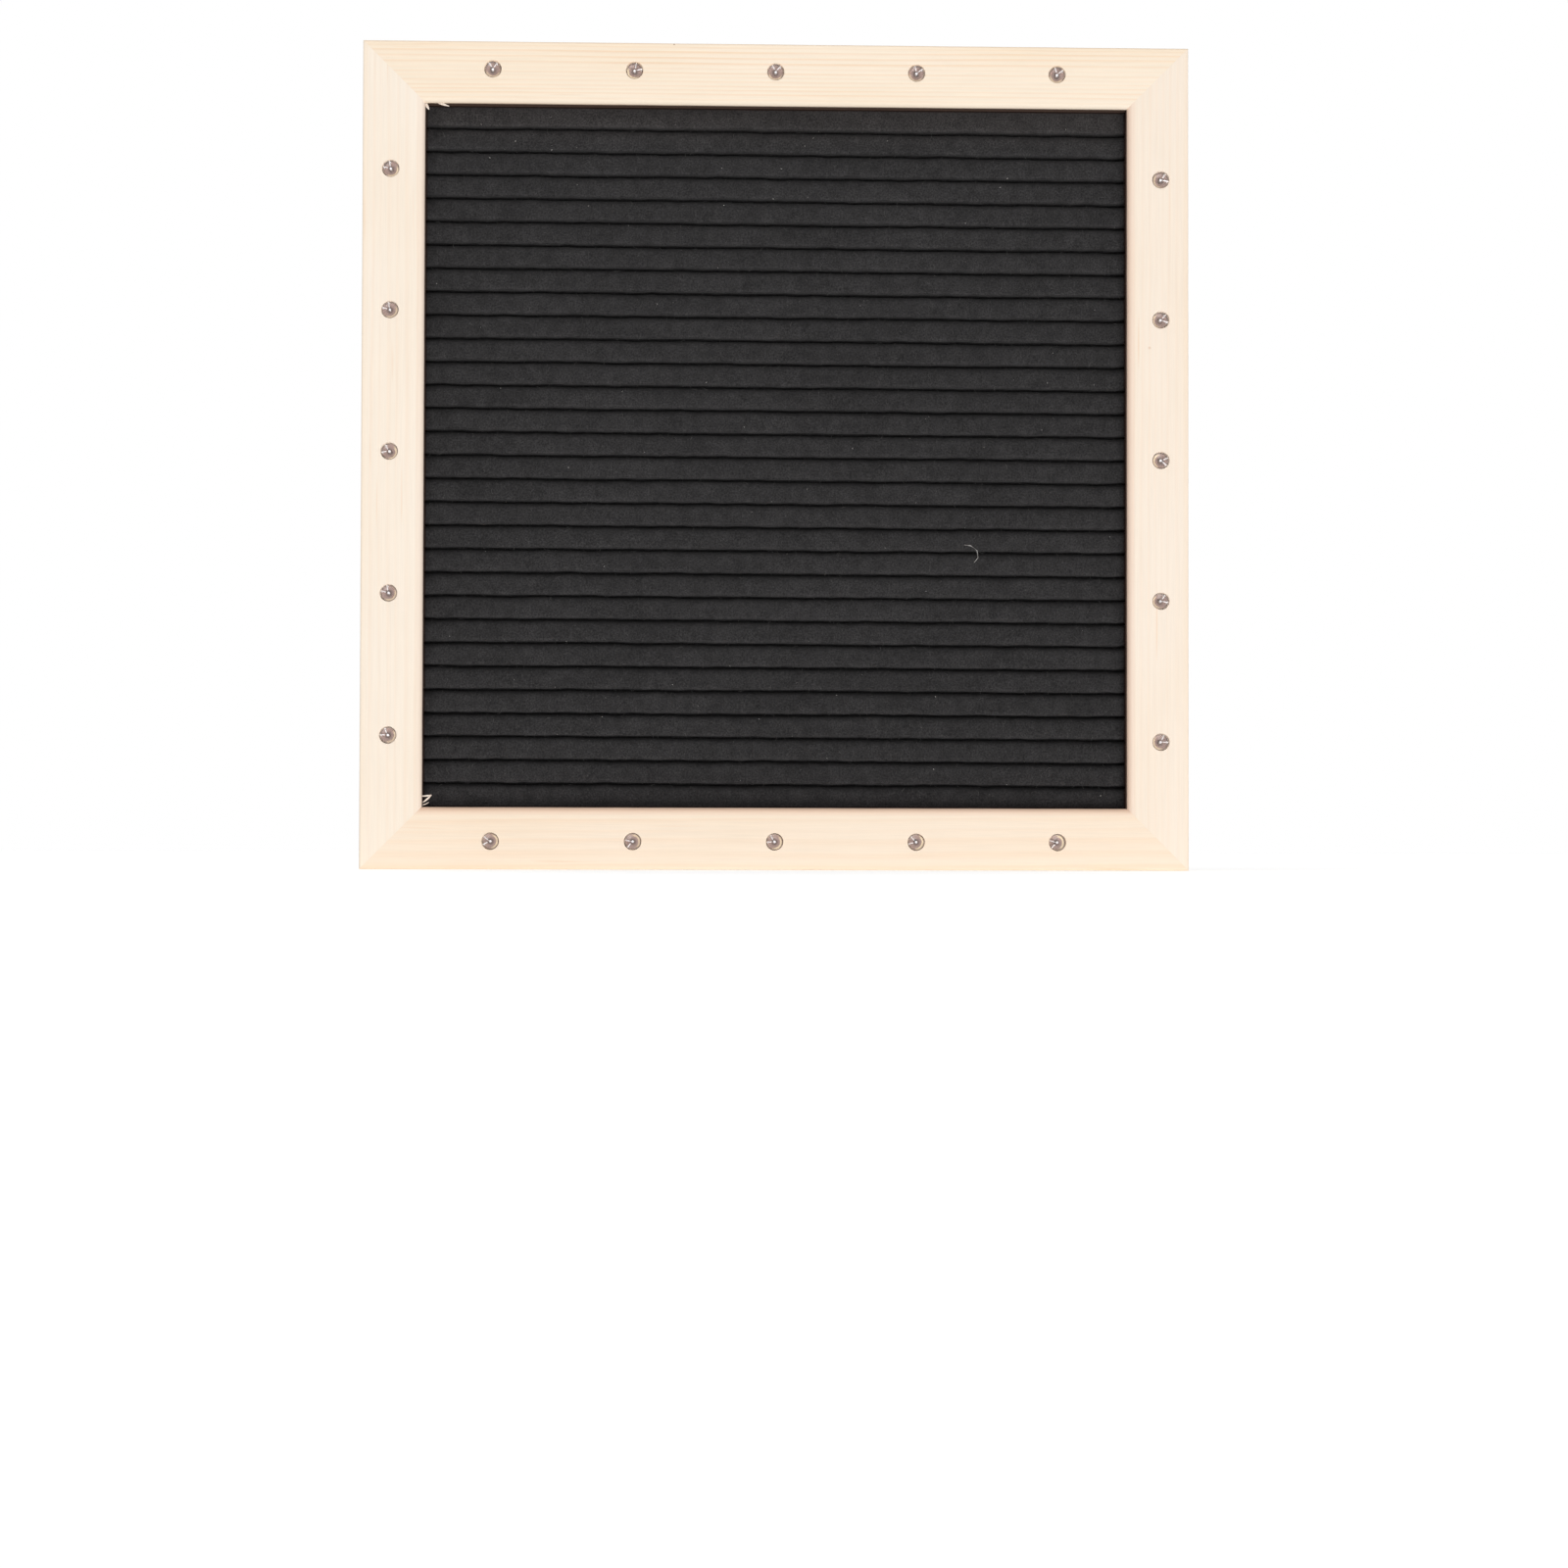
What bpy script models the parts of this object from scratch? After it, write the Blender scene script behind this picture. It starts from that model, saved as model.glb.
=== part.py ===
import math

import bmesh
import bpy
from mathutils import Matrix, Vector

# A lit felt letter board. X runs to the right and Z up, the letters' side faces -Y,
# and the origin is the middle of the face that it stands on. All sizes are in metres.

board_width = 0.254
board_height = 0.254
board_depth = 0.0254
fit = 0.0003                  # air kept between pieces that touch
past = 0.001                  # how far a cutter runs past the face that it opens

# Frame rail section
rail_face = 0.01905
lip_depth = 0.0045            # thickness of the front lip that the felt panel bears on
lip_width = 0.005             # how far that lip laps over the panel
channel_floor = 0.012         # depth of the wiring channel's floor, from the front face
back_lip = 0.002              # thin edge that hides the back board's edge
back_recess = 0.0034          # the back board lies this far inside the frame's back
inner_round = 0.0018
outer_round = 0.0008

# Lights
led_count = 5                 # on each rail
led_pitch = 0.0434
led_inset = 0.0086            # from the rail's outer edge
led_shift = {                 # how far each rail's row of lights lies off the rail's middle
    "bottom_rail": -0.0003,
    "right_stile": -0.0007,
    "top_rail": 0.0005,
    "left_stile": -0.0007,
}
led_radius = 0.0025
led_length = 0.0086
led_rim = 0.0004              # how far the flange reaches past the body
led_flange = 0.001
led_flat = 0.0026             # from the axis to the flat that marks the negative leg's side
led_stand_out = 0.002         # how far the dome stands out of the face
led_leg_pitch = 0.00254
led_leg = 0.0005
led_leg_root = 0.0006         # how far each leg reaches up into the resin
led_hole_play = 0.00025
led_seat_play = 0.0006

# Slotted panel and its felt
slot_pitch = 0.00722
slot_gap = 0.0009             # between the two felt faces in a slot
slot_margin = 0.005           # least plain strip above the first slot
felt_thickness = 0.0008
felt_fold_depth = 0.003
felt_lip_round = 0.0016
core_thickness = 0.0042
panel_play = 0.0007           # between the panel's edge and its rebate
panel_turn = math.radians(0.2)  # the panel sits a little askew in its frame

# Back board, its pins and the hanger
back_board_thickness = 0.0025
back_board_corner = 0.002
pin_places = (-0.07, 0.07)
pin_head_radius = 0.0009
pin_head = 0.0005
pin_radius = 0.0005
pin_length = 0.0098
pin_point = 0.001
hanger_length = 0.046
hanger_width = 0.009
hanger_sheet = 0.0008
hanger_end = 0.0099           # length of each flat end, which takes a rivet
hanger_rise = 0.0014
hanger_tooth = 0.0024
hanger_bite = 0.0019          # how high each notch between the teeth reaches
hanger_below_top = 0.036
rivet_head_radius = 0.0019
rivet_crown_radius = 0.0014
rivet_head = 0.0007
rivet_radius = 0.0009

# Fasteners in the corners and round the panel
v_nail_leg = 0.0046
v_nail_sheet = 0.0005
v_nail_height = 0.006
v_nail_inset = 0.0092
v_nail_tilt = math.radians(30)  # of each leg from the mitre
point_width = 0.0065
point_length = 0.0078
point_sheet = 0.0005
point_bite = 0.0033

# Battery tray, its cover and the switch
cell_length = 0.0445
cell_radius = 0.00525
cell_play = 0.0002
cell_count = 3
spring_room = 0.0062
contact_sheet = 0.0004
contact_margin = 0.0008       # the plate stops this short of the cell's edge, each way
tray_height_up = 0.070        # the tray's middle above the foot
tray_wall = 0.0012
tray_floor = 0.001
tray_reach = 0.0092           # least depth of the tray in front of the back board
tray_rib = 0.0008
tray_rib_top = 0.0004
tray_rib_height = 0.0036
tray_flange = 0.0035
tray_flange_thickness = 0.0012
tray_lip = 0.0009
tray_round = 0.0008
tray_lip_round = 0.0004
switch_room = 0.0115
cover_thickness = 0.0012
cover_tongue = 0.0013
cover_end_play = 0.0003
grip_inset = 0.006            # of the first ridge from the cover's outer end
grip_length = 0.017
grip_height = 0.0004
grip_width = 0.0009
grip_pitch = 0.0021
grip_count = 5
switch_length = 0.0086
switch_width = 0.0044
switch_height = 0.0036
switch_travel = 0.002
slider_length = 0.002
slider_width = 0.0015
slider_foot = 0.0007
slider_foot_depth = 0.0012    # of the foot's middle under the case's top
slider_stand_out = 0.0007

# Springs and wires
spring_wire = 0.0003
spring_base_radius = 0.0035
spring_tip_radius = 0.0021
spring_turns = 3.25
spring_points = 8             # on each turn
spring_seat = 0.00018         # the first turn's centre stands this far off its plate
wire_radius = 0.0006
wire_clearance = 0.0012       # between the wires and the back board
wire_bend = 0.006
wire_apart = 0.006            # between the two wires where they leave the tray
wire_tail = 0.004             # length of each wire inside the tray
wire_past_leg = 0.002         # each wire ends this far past the last light

# Places that follow from the sizes above. Depths are counted from the front face.
half_width = board_width / 2
half_height = board_height / 2
front = -board_depth / 2
opening_width = board_width - 2 * rail_face
opening_height = board_height - 2 * rail_face
panel_width = opening_width + 2 * (lip_width - panel_play)
panel_height = opening_height + 2 * (lip_width - panel_play)
felt_front = lip_depth + fit
core_front = felt_front + felt_thickness + fit
core_back = core_front + core_thickness
led_flange_radius = led_radius + led_rim
channel_wall = led_inset - led_flange_radius - led_seat_play / 2
led_flange_front = led_length - led_flange - led_stand_out
back_outer = board_depth - back_recess
back_inner = back_outer - back_board_thickness
ledge = back_inner - fit
wire_depth = back_inner - wire_clearance - wire_radius
leg_end = wire_depth - wire_radius - fit
led_leg_length = leg_end - led_flange_front - led_flange
slot_count = int((opening_height - 2 * slot_margin) / slot_pitch) + 1
slot_top = (slot_count - 1) * slot_pitch / 2
felt_slot_half = slot_gap / 2 + felt_thickness
core_slot_half = felt_slot_half + fit
pin_inset = (back_lip + fit + channel_wall) / 2
hanger_height = board_height - hanger_below_top

cell_pitch = 2 * (cell_radius + cell_play) + tray_rib
bay_width = cell_count * cell_pitch - tray_rib
bay_length = cell_length + spring_room + 3 * contact_sheet + 2 * fit
tray_front = max(core_back + fit, back_inner - tray_reach)
bay_floor = tray_front + tray_floor
cover_inner = bay_floor + 2 * (cell_radius + cell_play)
cover_outer = cover_inner + cover_thickness
tray_back = cover_outer + fit + tray_lip
tray_width = bay_width + 2 * (cover_tongue + fit + tray_wall)
tray_length = switch_room + bay_length + 3 * tray_wall
tray_left = -tray_length / 2
bay_left = tray_left + switch_room + 2 * tray_wall
bay_right = bay_left + bay_length
cover_left = bay_left - tray_wall + cover_end_play
cover_length = tray_length / 2 - cover_left
switch_middle = tray_left + tray_wall + switch_room / 2
switch_back = cover_inner - fit
stem_way_length = slider_length + switch_travel + 2 * fit
stem_way_width = slider_width + 2 * fit
cell_heights = [tray_height_up + (i - (cell_count - 1) / 2) * cell_pitch for i in range(cell_count)]

millimetres = 1000
dome_steps = 3
led_sides = 12
bore_sides = 16
pin_sides = 8
rivet_sides = 12
full_round = 0.98             # share of a half width that rounds an end, so that its two arcs don't meet

# How an outline's two directions and its extrusion are laid along the world's axes.
laid_along = {
    "X": Matrix(((0, 0, 1, 0), (1, 0, 0, 0), (0, 1, 0, 0), (0, 0, 0, 1))),   # outline in Y, Z
    "Y": Matrix(((1, 0, 0, 0), (0, 0, -1, 0), (0, 1, 0, 0), (0, 0, 0, 1))),  # outline in X, Z
    "Z": Matrix.Identity(4),                                                # outline in X, Y
}


def clear_scene():
    for obj in list(bpy.data.objects):
        bpy.data.objects.remove(obj, do_unlink=True)


def new_collection(name):
    collection = bpy.data.collections.new(name)
    bpy.context.scene.collection.children.link(collection)
    return collection


def new_material(name, colour, roughness, metallic=0.0, transmission=0.0):
    material = bpy.data.materials.new(name)
    material.use_nodes = True
    material.diffuse_color = (*colour, 1)
    shader = material.node_tree.nodes["Principled BSDF"]
    shader.inputs["Base Color"].default_value = (*colour, 1)
    shader.inputs["Roughness"].default_value = roughness
    shader.inputs["Metallic"].default_value = metallic
    shader.inputs["Transmission Weight"].default_value = transmission
    return material


clear_scene()
parts = new_collection("felt_letter_board")
cutters = new_collection("cutters")
pine = new_material("pine", (0.93, 0.80, 0.65), 0.55)
felt = new_material("felt", (0.030, 0.029, 0.029), 0.95)
fibreboard = new_material("fibreboard", (0.30, 0.19, 0.11), 0.75)
hardboard = new_material("hardboard", (0.36, 0.24, 0.15), 0.7)
clear_resin = new_material("clear_resin", (0.93, 0.93, 0.92), 0.08, transmission=0.9)
red_cover = new_material("red_insulation", (0.55, 0.03, 0.02), 0.45)
black_cover = new_material("black_insulation", (0.02, 0.02, 0.02), 0.45)
black_plastic = new_material("black_plastic", (0.03, 0.03, 0.03), 0.5)
white_plastic = new_material("white_plastic", (0.80, 0.80, 0.78), 0.4)
steel = new_material("steel", (0.62, 0.61, 0.58), 0.35, metallic=1.0)
nickel = new_material("nickel", (0.75, 0.73, 0.69), 0.25, metallic=1.0)


def new_object(name, data, collection, material=None, location=(0, 0, 0), turn=0.0):
    obj = bpy.data.objects.new(name, data)
    collection.objects.link(obj)
    obj.location = location
    obj.rotation_euler = (0, turn, 0)
    if material and not data.materials:
        data.materials.append(material)
    return obj


def mesh_from(obj):
    # The evaluated shape of a temporary object, welded and facing out. The object is removed.
    bpy.context.view_layer.update()
    graph = bpy.context.evaluated_depsgraph_get()
    mesh = bpy.data.meshes.new_from_object(obj.evaluated_get(graph))
    mesh.name = obj.name
    bpy.data.objects.remove(obj, do_unlink=True)
    tidy = bmesh.new()
    tidy.from_mesh(mesh)
    bmesh.ops.remove_doubles(tidy, verts=tidy.verts, dist=1e-7)
    bmesh.ops.recalc_face_normals(tidy, faces=tidy.faces)
    tidy.to_mesh(mesh)
    tidy.free()
    return mesh


def rounded(corners, steps=3):
    # An outline's points, with an arc in place of each corner that gives a radius.
    outline = []
    for i, (a, b, *radius) in enumerate(corners):
        here = Vector((a, b))
        if not radius:
            outline.append(here)
            continue
        before = (Vector(corners[i - 1][:2]) - here).normalized()
        after = (Vector(corners[(i + 1) % len(corners)][:2]) - here).normalized()
        half_angle = before.angle(after) / 2
        centre = here + (before + after).normalized() * radius[0] / math.sin(half_angle)
        start = here + before * radius[0] / math.tan(half_angle) - centre
        end = here + after * radius[0] / math.tan(half_angle) - centre
        sweep = start.angle_signed(end)
        for step in range(steps + 1):
            outline.append(centre + Matrix.Rotation(-sweep * step / steps, 2) @ start)
    return outline


def extruded(name, outline, length, along="Z"):
    # A flat outline given a thickness centred on zero.
    # It is drawn in millimetres, because a curve's fill merges points under 0.03 units apart.
    curve = bpy.data.curves.new(name, "CURVE")
    curve.dimensions = "2D"
    curve.fill_mode = "BOTH"
    curve.extrude = length / 2 * millimetres
    spline = curve.splines.new("POLY")
    spline.points.add(len(outline) - 1)
    for point, (a, b) in zip(spline.points, outline):
        point.co = (a * millimetres, b * millimetres, 0, 1)
    spline.use_cyclic_u = True
    mesh = mesh_from(new_object(name, curve, cutters))
    mesh.transform(laid_along[along] @ Matrix.Scale(1 / millimetres, 4))
    return mesh


def turned(name, profile, steps):
    # A profile of (radius, height) points from the top down, turned about Z.
    mesh = bpy.data.meshes.new(name)
    edges = [(i, i + 1) for i in range(len(profile) - 1)]
    mesh.from_pydata([(radius, 0, height) for radius, height in profile], edges, [])
    obj = new_object(name, mesh, cutters)
    screw = obj.modifiers.new("Turn", "SCREW")
    screw.steps = steps
    screw.render_steps = steps
    screw.use_merge_vertices = True
    screw.merge_threshold = 1e-6
    return mesh_from(obj)


def tube(name, points, radius):
    curve = bpy.data.curves.new(name, "CURVE")
    curve.dimensions = "3D"
    curve.bevel_depth = radius
    curve.bevel_resolution = 2
    curve.use_fill_caps = True
    spline = curve.splines.new("POLY")
    spline.points.add(len(points) - 1)
    for point, place in zip(spline.points, points):
        point.co = (*place, 1)
    return curve


def box(size_x, size_y, size_z, middle):
    shape = bmesh.new()
    bmesh.ops.create_cube(shape, size=1)
    bmesh.ops.scale(shape, vec=(size_x, size_y, size_z), verts=shape.verts)
    bmesh.ops.translate(shape, vec=middle, verts=shape.verts)
    mesh = bpy.data.meshes.new("box")
    shape.to_mesh(mesh)
    shape.free()
    return mesh


def placed_copies(name, mesh, matrices):
    # One mesh that holds a copy at each place.
    shape = bmesh.new()
    for matrix in matrices:
        start = len(shape.verts)
        shape.from_mesh(mesh)
        shape.verts.ensure_lookup_table()
        bmesh.ops.transform(shape, matrix=matrix, verts=shape.verts[start:])
    joined = bpy.data.meshes.new(name)
    shape.to_mesh(joined)
    shape.free()
    return joined


def add_boolean(obj, other, operation):
    modifier = obj.modifiers.new(operation.title() + " " + other.name, "BOOLEAN")
    modifier.operation = operation
    modifier.object = other
    modifier.solver = "EXACT"


def helper(name, mesh, location=(0, 0, 0), turn=0.0):
    obj = new_object(name, mesh, cutters, location=location, turn=turn)
    obj.hide_render = True
    obj.display_type = "WIRE"
    return obj


def cut(obj, name, mesh, location=(0, 0, 0), turn=0.0):
    add_boolean(obj, helper(name, mesh, location, turn), "DIFFERENCE")


def fuse(name, meshes):
    # One closed mesh from shapes that overlap.
    base = new_object(name, meshes[0], cutters)
    added = [new_object(name + "_added", mesh, cutters) for mesh in meshes[1:]]
    for other in added:
        add_boolean(base, other, "UNION")
    mesh = mesh_from(base)
    for other in added:
        bpy.data.objects.remove(other, do_unlink=True)
    return mesh


def facing_back(mesh, depth=0.0):
    # Turns a shape made about Z so that its top faces the back, +Y, with its origin at a depth.
    mesh.transform(Matrix.Translation((0, front + depth, 0)) @ Matrix.Rotation(-math.pi / 2, 4, "X"))
    return mesh


def back_holes(name, profile, sides, places):
    # Cutters for round holes sunk from the back board's outer face, one at each place.
    hole = facing_back(turned(name, profile, sides), back_outer)
    return placed_copies(name, hole, [Matrix.Translation(place) for place in places])


def sliced(mesh, planes):
    # Takes away what lies beyond each plane, given by a point and a normal, and closes the cuts.
    shape = bmesh.new()
    shape.from_mesh(mesh)
    for point, normal in planes:
        everything = shape.verts[:] + shape.edges[:] + shape.faces[:]
        bmesh.ops.bisect_plane(
            shape, geom=everything, plane_co=point, plane_no=normal, clear_outer=True, dist=1e-7
        )
        open_edges = [edge for edge in shape.edges if edge.is_boundary]
        bmesh.ops.holes_fill(shape, edges=open_edges)
    bmesh.ops.recalc_face_normals(shape, faces=shape.faces)
    shape.to_mesh(mesh)
    shape.free()
    return mesh


def rail_section():
    # Points are (depth, distance from the rail's outer edge), turned to Y and Z below.
    corners = [
        (0, 0, outer_round),
        (0, rail_face, inner_round),
        (lip_depth, rail_face),
        (lip_depth, rail_face - lip_width),
        (channel_floor, rail_face - lip_width),
        (channel_floor, channel_wall),
        (ledge, channel_wall),
        (ledge, back_lip),
        (board_depth, back_lip),
        (board_depth, 0, outer_round),
    ]
    return [(front + depth, inset) for depth, inset in rounded(corners)]


def mitred(mesh, half_length):
    # Cuts both ends at 45 degrees through the outer corners, half the gap back from each joint.
    planes = []
    for side in (-1, 1):
        normal = Vector((side, 0, 1)).normalized()
        planes.append((Vector((side * half_length, 0, 0)) - normal * fit / 2, normal))
    return sliced(mesh, planes)


def led_places(rail):
    return [led_shift[rail] + (i - (led_count - 1) / 2) * led_pitch for i in range(led_count)]


def bore_profile():
    # The light's hole: a snug bore through the face and a wider one behind it for the flange.
    seat = led_flange_front - fit
    snug = led_radius + led_hole_play
    wide = led_flange_radius + led_seat_play
    return [
        (0, channel_floor + past),
        (wide, channel_floor + past),
        (wide, seat),
        (snug, seat),
        (snug, -past),
        (0, -past),
    ]


def pin_profile(grow=0.0, above=0.0):
    # A panel pin from its head down, or with grow and above the hole that takes it.
    neck = -pin_head - grow
    return [
        (0, above),
        (pin_head_radius + grow, above),
        (pin_head_radius + grow, neck),
        (pin_radius + grow, neck),
        (pin_radius + grow, -pin_length + pin_point - grow),
        (0, -pin_length - grow),
    ]


def v_nail_outline(grow=0.0):
    # A bent steel fastener across the mitre, open towards the corner.
    half = v_nail_sheet / 2 + grow
    reach = v_nail_leg + grow
    legs = []
    for side in (-1, 1):
        direction = Vector((side * math.sin(v_nail_tilt), -math.cos(v_nail_tilt)))
        legs.append((direction, Vector((direction.y, -direction.x))))
    (left, left_side), (right, right_side) = legs
    tip = half / math.sin(v_nail_tilt)
    return [
        (0, tip), right * reach - right_side * half, right * reach + right_side * half,
        (0, -tip), left * reach - left_side * half, left * reach + left_side * half,
    ]


def corner_cutters(half_length):
    # The two half slots that a rail gives to the fasteners at its ends.
    mesh = extruded("v_nail_slot", v_nail_outline(fit), v_nail_height + 2 * fit, "Y")
    matrices = []
    for side in (-1, 1):
        middle = Vector((side * (half_length - v_nail_inset), v_nail_middle(), v_nail_inset))
        matrices.append(Matrix.Translation(middle) @ Matrix.Rotation(side * math.radians(45), 4, "Y"))
    return placed_copies("v_nail_slots", mesh, matrices)


def v_nail_middle():
    # The fasteners are driven flush with the wiring channel's floor.
    return front + channel_floor - v_nail_height / 2


def point_cutters(rail):
    # Slots in the rebate's wall for the parts of the points that are driven into the rail.
    length = past + point_bite + fit
    middle = (0, point_depth(), rail_face - lip_width + past - length / 2)
    mesh = box(point_width + 2 * fit, point_sheet + 2 * fit, length, middle)
    return placed_copies("point_slots", mesh, [Matrix.Translation((x, 0, 0)) for x in point_places(rail)])


def point_places(rail):
    # Midway between the two lights at each end of the rail, clear of their bores.
    reach = led_pitch * (led_count / 2 - 1)
    return [led_shift[rail] + side * reach for side in (-1, 1)]


def point_depth():
    return front + core_back + fit + point_sheet / 2


def make_rail(name, length, location, turn):
    mesh = extruded(name, rail_section(), length + rail_face, "X")
    rail = new_object(name, mitred(mesh, length / 2), parts, pine, location, turn)
    bore = facing_back(turned("bore", bore_profile(), bore_sides))
    places = [Matrix.Translation((x, 0, led_inset)) for x in led_places(name)]
    cut(rail, name + "_bores", placed_copies("bores", bore, places), location, turn)
    places = [(x, 0, pin_inset) for x in pin_places]
    holes = back_holes("pin_holes", pin_profile(fit, fit), pin_sides, places)
    cut(rail, name + "_pin_holes", holes, location, turn)
    cut(rail, name + "_v_nail_slots", corner_cutters(length / 2), location, turn)
    cut(rail, name + "_point_slots", point_cutters(name), location, turn)


# Each rail is made as the bottom one and turned about Y to its side of the board.
rails = {
    "bottom_rail": (board_width, (0, 0, 0), 0.0),
    "right_stile": (board_height, (half_width, 0, half_height), -math.pi / 2),
    "top_rail": (board_width, (0, 0, board_height), math.pi),
    "left_stile": (board_height, (-half_width, 0, half_height), math.pi / 2),
}


def led_mesh():
    # A moulded 5 mm light: dome, flange with its flat, and two legs, made about Z with the dome up.
    shoulder = led_length - led_radius
    dome = []
    for step in range(dome_steps + 1):
        angle = math.radians(90 - 90 * step / dome_steps)
        dome.append((led_radius * math.cos(angle), shoulder + led_radius * math.sin(angle)))
    dome[0] = (0, led_length)
    skirt = [(led_radius, led_flange), (led_flange_radius, led_flange), (led_flange_radius, 0), (0, 0)]
    body = turned("led", dome + skirt, led_sides)
    body = sliced(body, [(Vector((led_flat, 0, 0)), Vector((1, 0, 0)))])
    length = led_leg_root + led_leg_length
    legs = []
    for side in (-1, 1):
        middle = (side * led_leg_pitch / 2, 0, led_leg_root - length / 2)
        legs.append(box(led_leg, led_leg, length, middle))
    mesh = fuse("led", [body] + legs)
    # The dome faces the front, its flange starts at its seat, and the legs part across the rail.
    to_front = Matrix.Rotation(math.pi / 2, 4, "X") @ Matrix.Rotation(math.pi / 2, 4, "Z")
    mesh.transform(Matrix.Translation((0, front + led_flange_front + led_flange, led_inset)) @ to_front)
    return mesh


def in_rail(location, turn, x, z=0.0):
    # A place on the bottom rail, carried to the rail that this location and turn give.
    return Vector(location) + Matrix.Rotation(turn, 3, "Y") @ Vector((x, 0, z))


def along_rails(name, mesh, material, places_on, inset=0.0):
    # A numbered copy at each of the places that a rail has for it.
    for rail, (length, location, turn) in rails.items():
        side = rail.split("_")[0]
        for number, x in enumerate(places_on(rail), 1):
            place = in_rail(location, turn, x, inset)
            new_object(f"{name}_{side}_{number}", mesh, parts, material, place, turn)


def make_frame():
    for name, (length, location, turn) in rails.items():
        make_rail(name, length, location, turn)


def make_corner_fasteners():
    v_nail = extruded("v_nail", v_nail_outline(), v_nail_height, "Y")
    for name, (length, location, turn) in rails.items():
        corner = in_rail(location, turn, length / 2 - v_nail_inset, v_nail_inset)
        corner.y = v_nail_middle()
        side = name.split("_")[0]
        new_object(f"corner_v_nail_{side}", v_nail, parts, steel, corner, turn + math.radians(45))


def make_panel_points():
    middle = rail_face - lip_width - point_bite + point_length / 2
    point = box(point_width, point_sheet, point_length, (0, point_depth(), middle))
    along_rails("panel_point", point, steel, point_places)


def make_back_pins():
    pin = facing_back(turned("pin", pin_profile(), pin_sides), back_outer)
    along_rails("back_pin", pin, steel, lambda rail: pin_places, pin_inset)


def slot_heights():
    return [half_height + slot_top - i * slot_pitch for i in range(slot_count)]


def make_core():
    # A comb seen from the side: one rib between each two slots, its corners eased for the felt.
    low = half_height - panel_height / 2
    high = half_height + panel_height / 2
    ease = felt_lip_round - felt_thickness - fit
    slot_floor = felt_front + felt_fold_depth + felt_thickness + fit
    corners = [(core_back, low), (core_back, high), (core_front, high)]
    for height in slot_heights():
        corners += [
            (core_front, height + core_slot_half, ease),
            (slot_floor, height + core_slot_half),
            (slot_floor, height - core_slot_half),
            (core_front, height - core_slot_half, ease),
        ]
    corners.append((core_front, low))
    outline = [(front + depth, height - half_height) for depth, height in rounded(corners, 1)]
    mesh = extruded("slotted_core", outline, panel_width, "X")
    new_object("slotted_core", mesh, parts, fibreboard, (0, 0, half_height), panel_turn)


def felt_side(offset, steps):
    # One face of the felt, from the top edge down: it dips into each slot and comes out again.
    depth = felt_front + offset
    lip = felt_lip_round - offset
    half = slot_gap / 2 + offset
    bottom = felt_front + felt_fold_depth + offset
    corners = [(depth, half_height + panel_height / 2)]
    for height in slot_heights():
        corners += [
            (depth, height + half, lip),
            (bottom, height + half, half * full_round),
            (bottom, height - half, half * full_round),
            (depth, height - half, lip),
        ]
    corners.append((depth, half_height - panel_height / 2))
    return rounded(corners, steps)


def make_felt():
    face = felt_side(0, 2)
    back = felt_side(felt_thickness, 1)
    outline = [(front + depth, height - half_height) for depth, height in face + back[::-1]]
    mesh = extruded("felt_face", outline, panel_width, "X")
    new_object("felt_face", mesh, parts, felt, (0, 0, half_height), panel_turn)


def rectangle(width, height, middle=(0, 0), corner=None):
    a, b = middle
    rim = [] if corner is None else [corner]
    sides = [(-1, -1), (1, -1), (1, 1), (-1, 1)]
    corners = [(a + i * width / 2, b + j * height / 2, *rim) for i, j in sides]
    return rounded(corners)


def make_back_board():
    width = board_width - 2 * (back_lip + fit)
    height = board_height - 2 * (back_lip + fit)
    outline = rectangle(width, height, (0, half_height), back_board_corner)
    mesh = extruded("back_board", outline, back_board_thickness, "Y")
    middle = front + back_inner + back_board_thickness / 2
    board = new_object("back_board", mesh, parts, hardboard, (0, middle, 0))
    through = back_board_thickness + 2 * past
    window = box(tray_length + 2 * fit, through, tray_width + 2 * fit, (0, middle, 0))
    cut(board, "tray_window", window, (0, 0, tray_height_up))
    places = []
    for length, location, turn in rails.values():
        places += [in_rail(location, turn, x, pin_inset) for x in pin_places]
    holes = back_holes("board_pin_holes", pin_profile(fit, fit), pin_sides, places)
    cut(board, "board_pin_holes", holes)
    holes = back_holes("board_rivet_holes", rivet_hole_profile(), rivet_sides, rivet_places())
    cut(board, "board_rivet_holes", holes)


def rivet_places():
    reach = hanger_length / 2 - hanger_width / 2
    return [Vector((side * reach, 0, hanger_height)) for side in (-1, 1)]


def rivet_profile():
    # A rivet with a crowned head over the hanger and another closed behind the board.
    top = fit + hanger_sheet + fit + rivet_head
    bottom = -back_board_thickness - fit - rivet_head
    return [
        (0, top),
        (rivet_crown_radius, top),
        (rivet_head_radius, top - rivet_head),
        (rivet_radius, top - rivet_head),
        (rivet_radius, bottom + rivet_head),
        (rivet_head_radius, bottom + rivet_head),
        (rivet_crown_radius, bottom),
        (0, bottom),
    ]


def rivet_hole_profile():
    top = fit + hanger_sheet + past
    bottom = -back_board_thickness - past
    return [(0, top), (rivet_radius + fit, top), (rivet_radius + fit, bottom), (0, bottom)]


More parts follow.
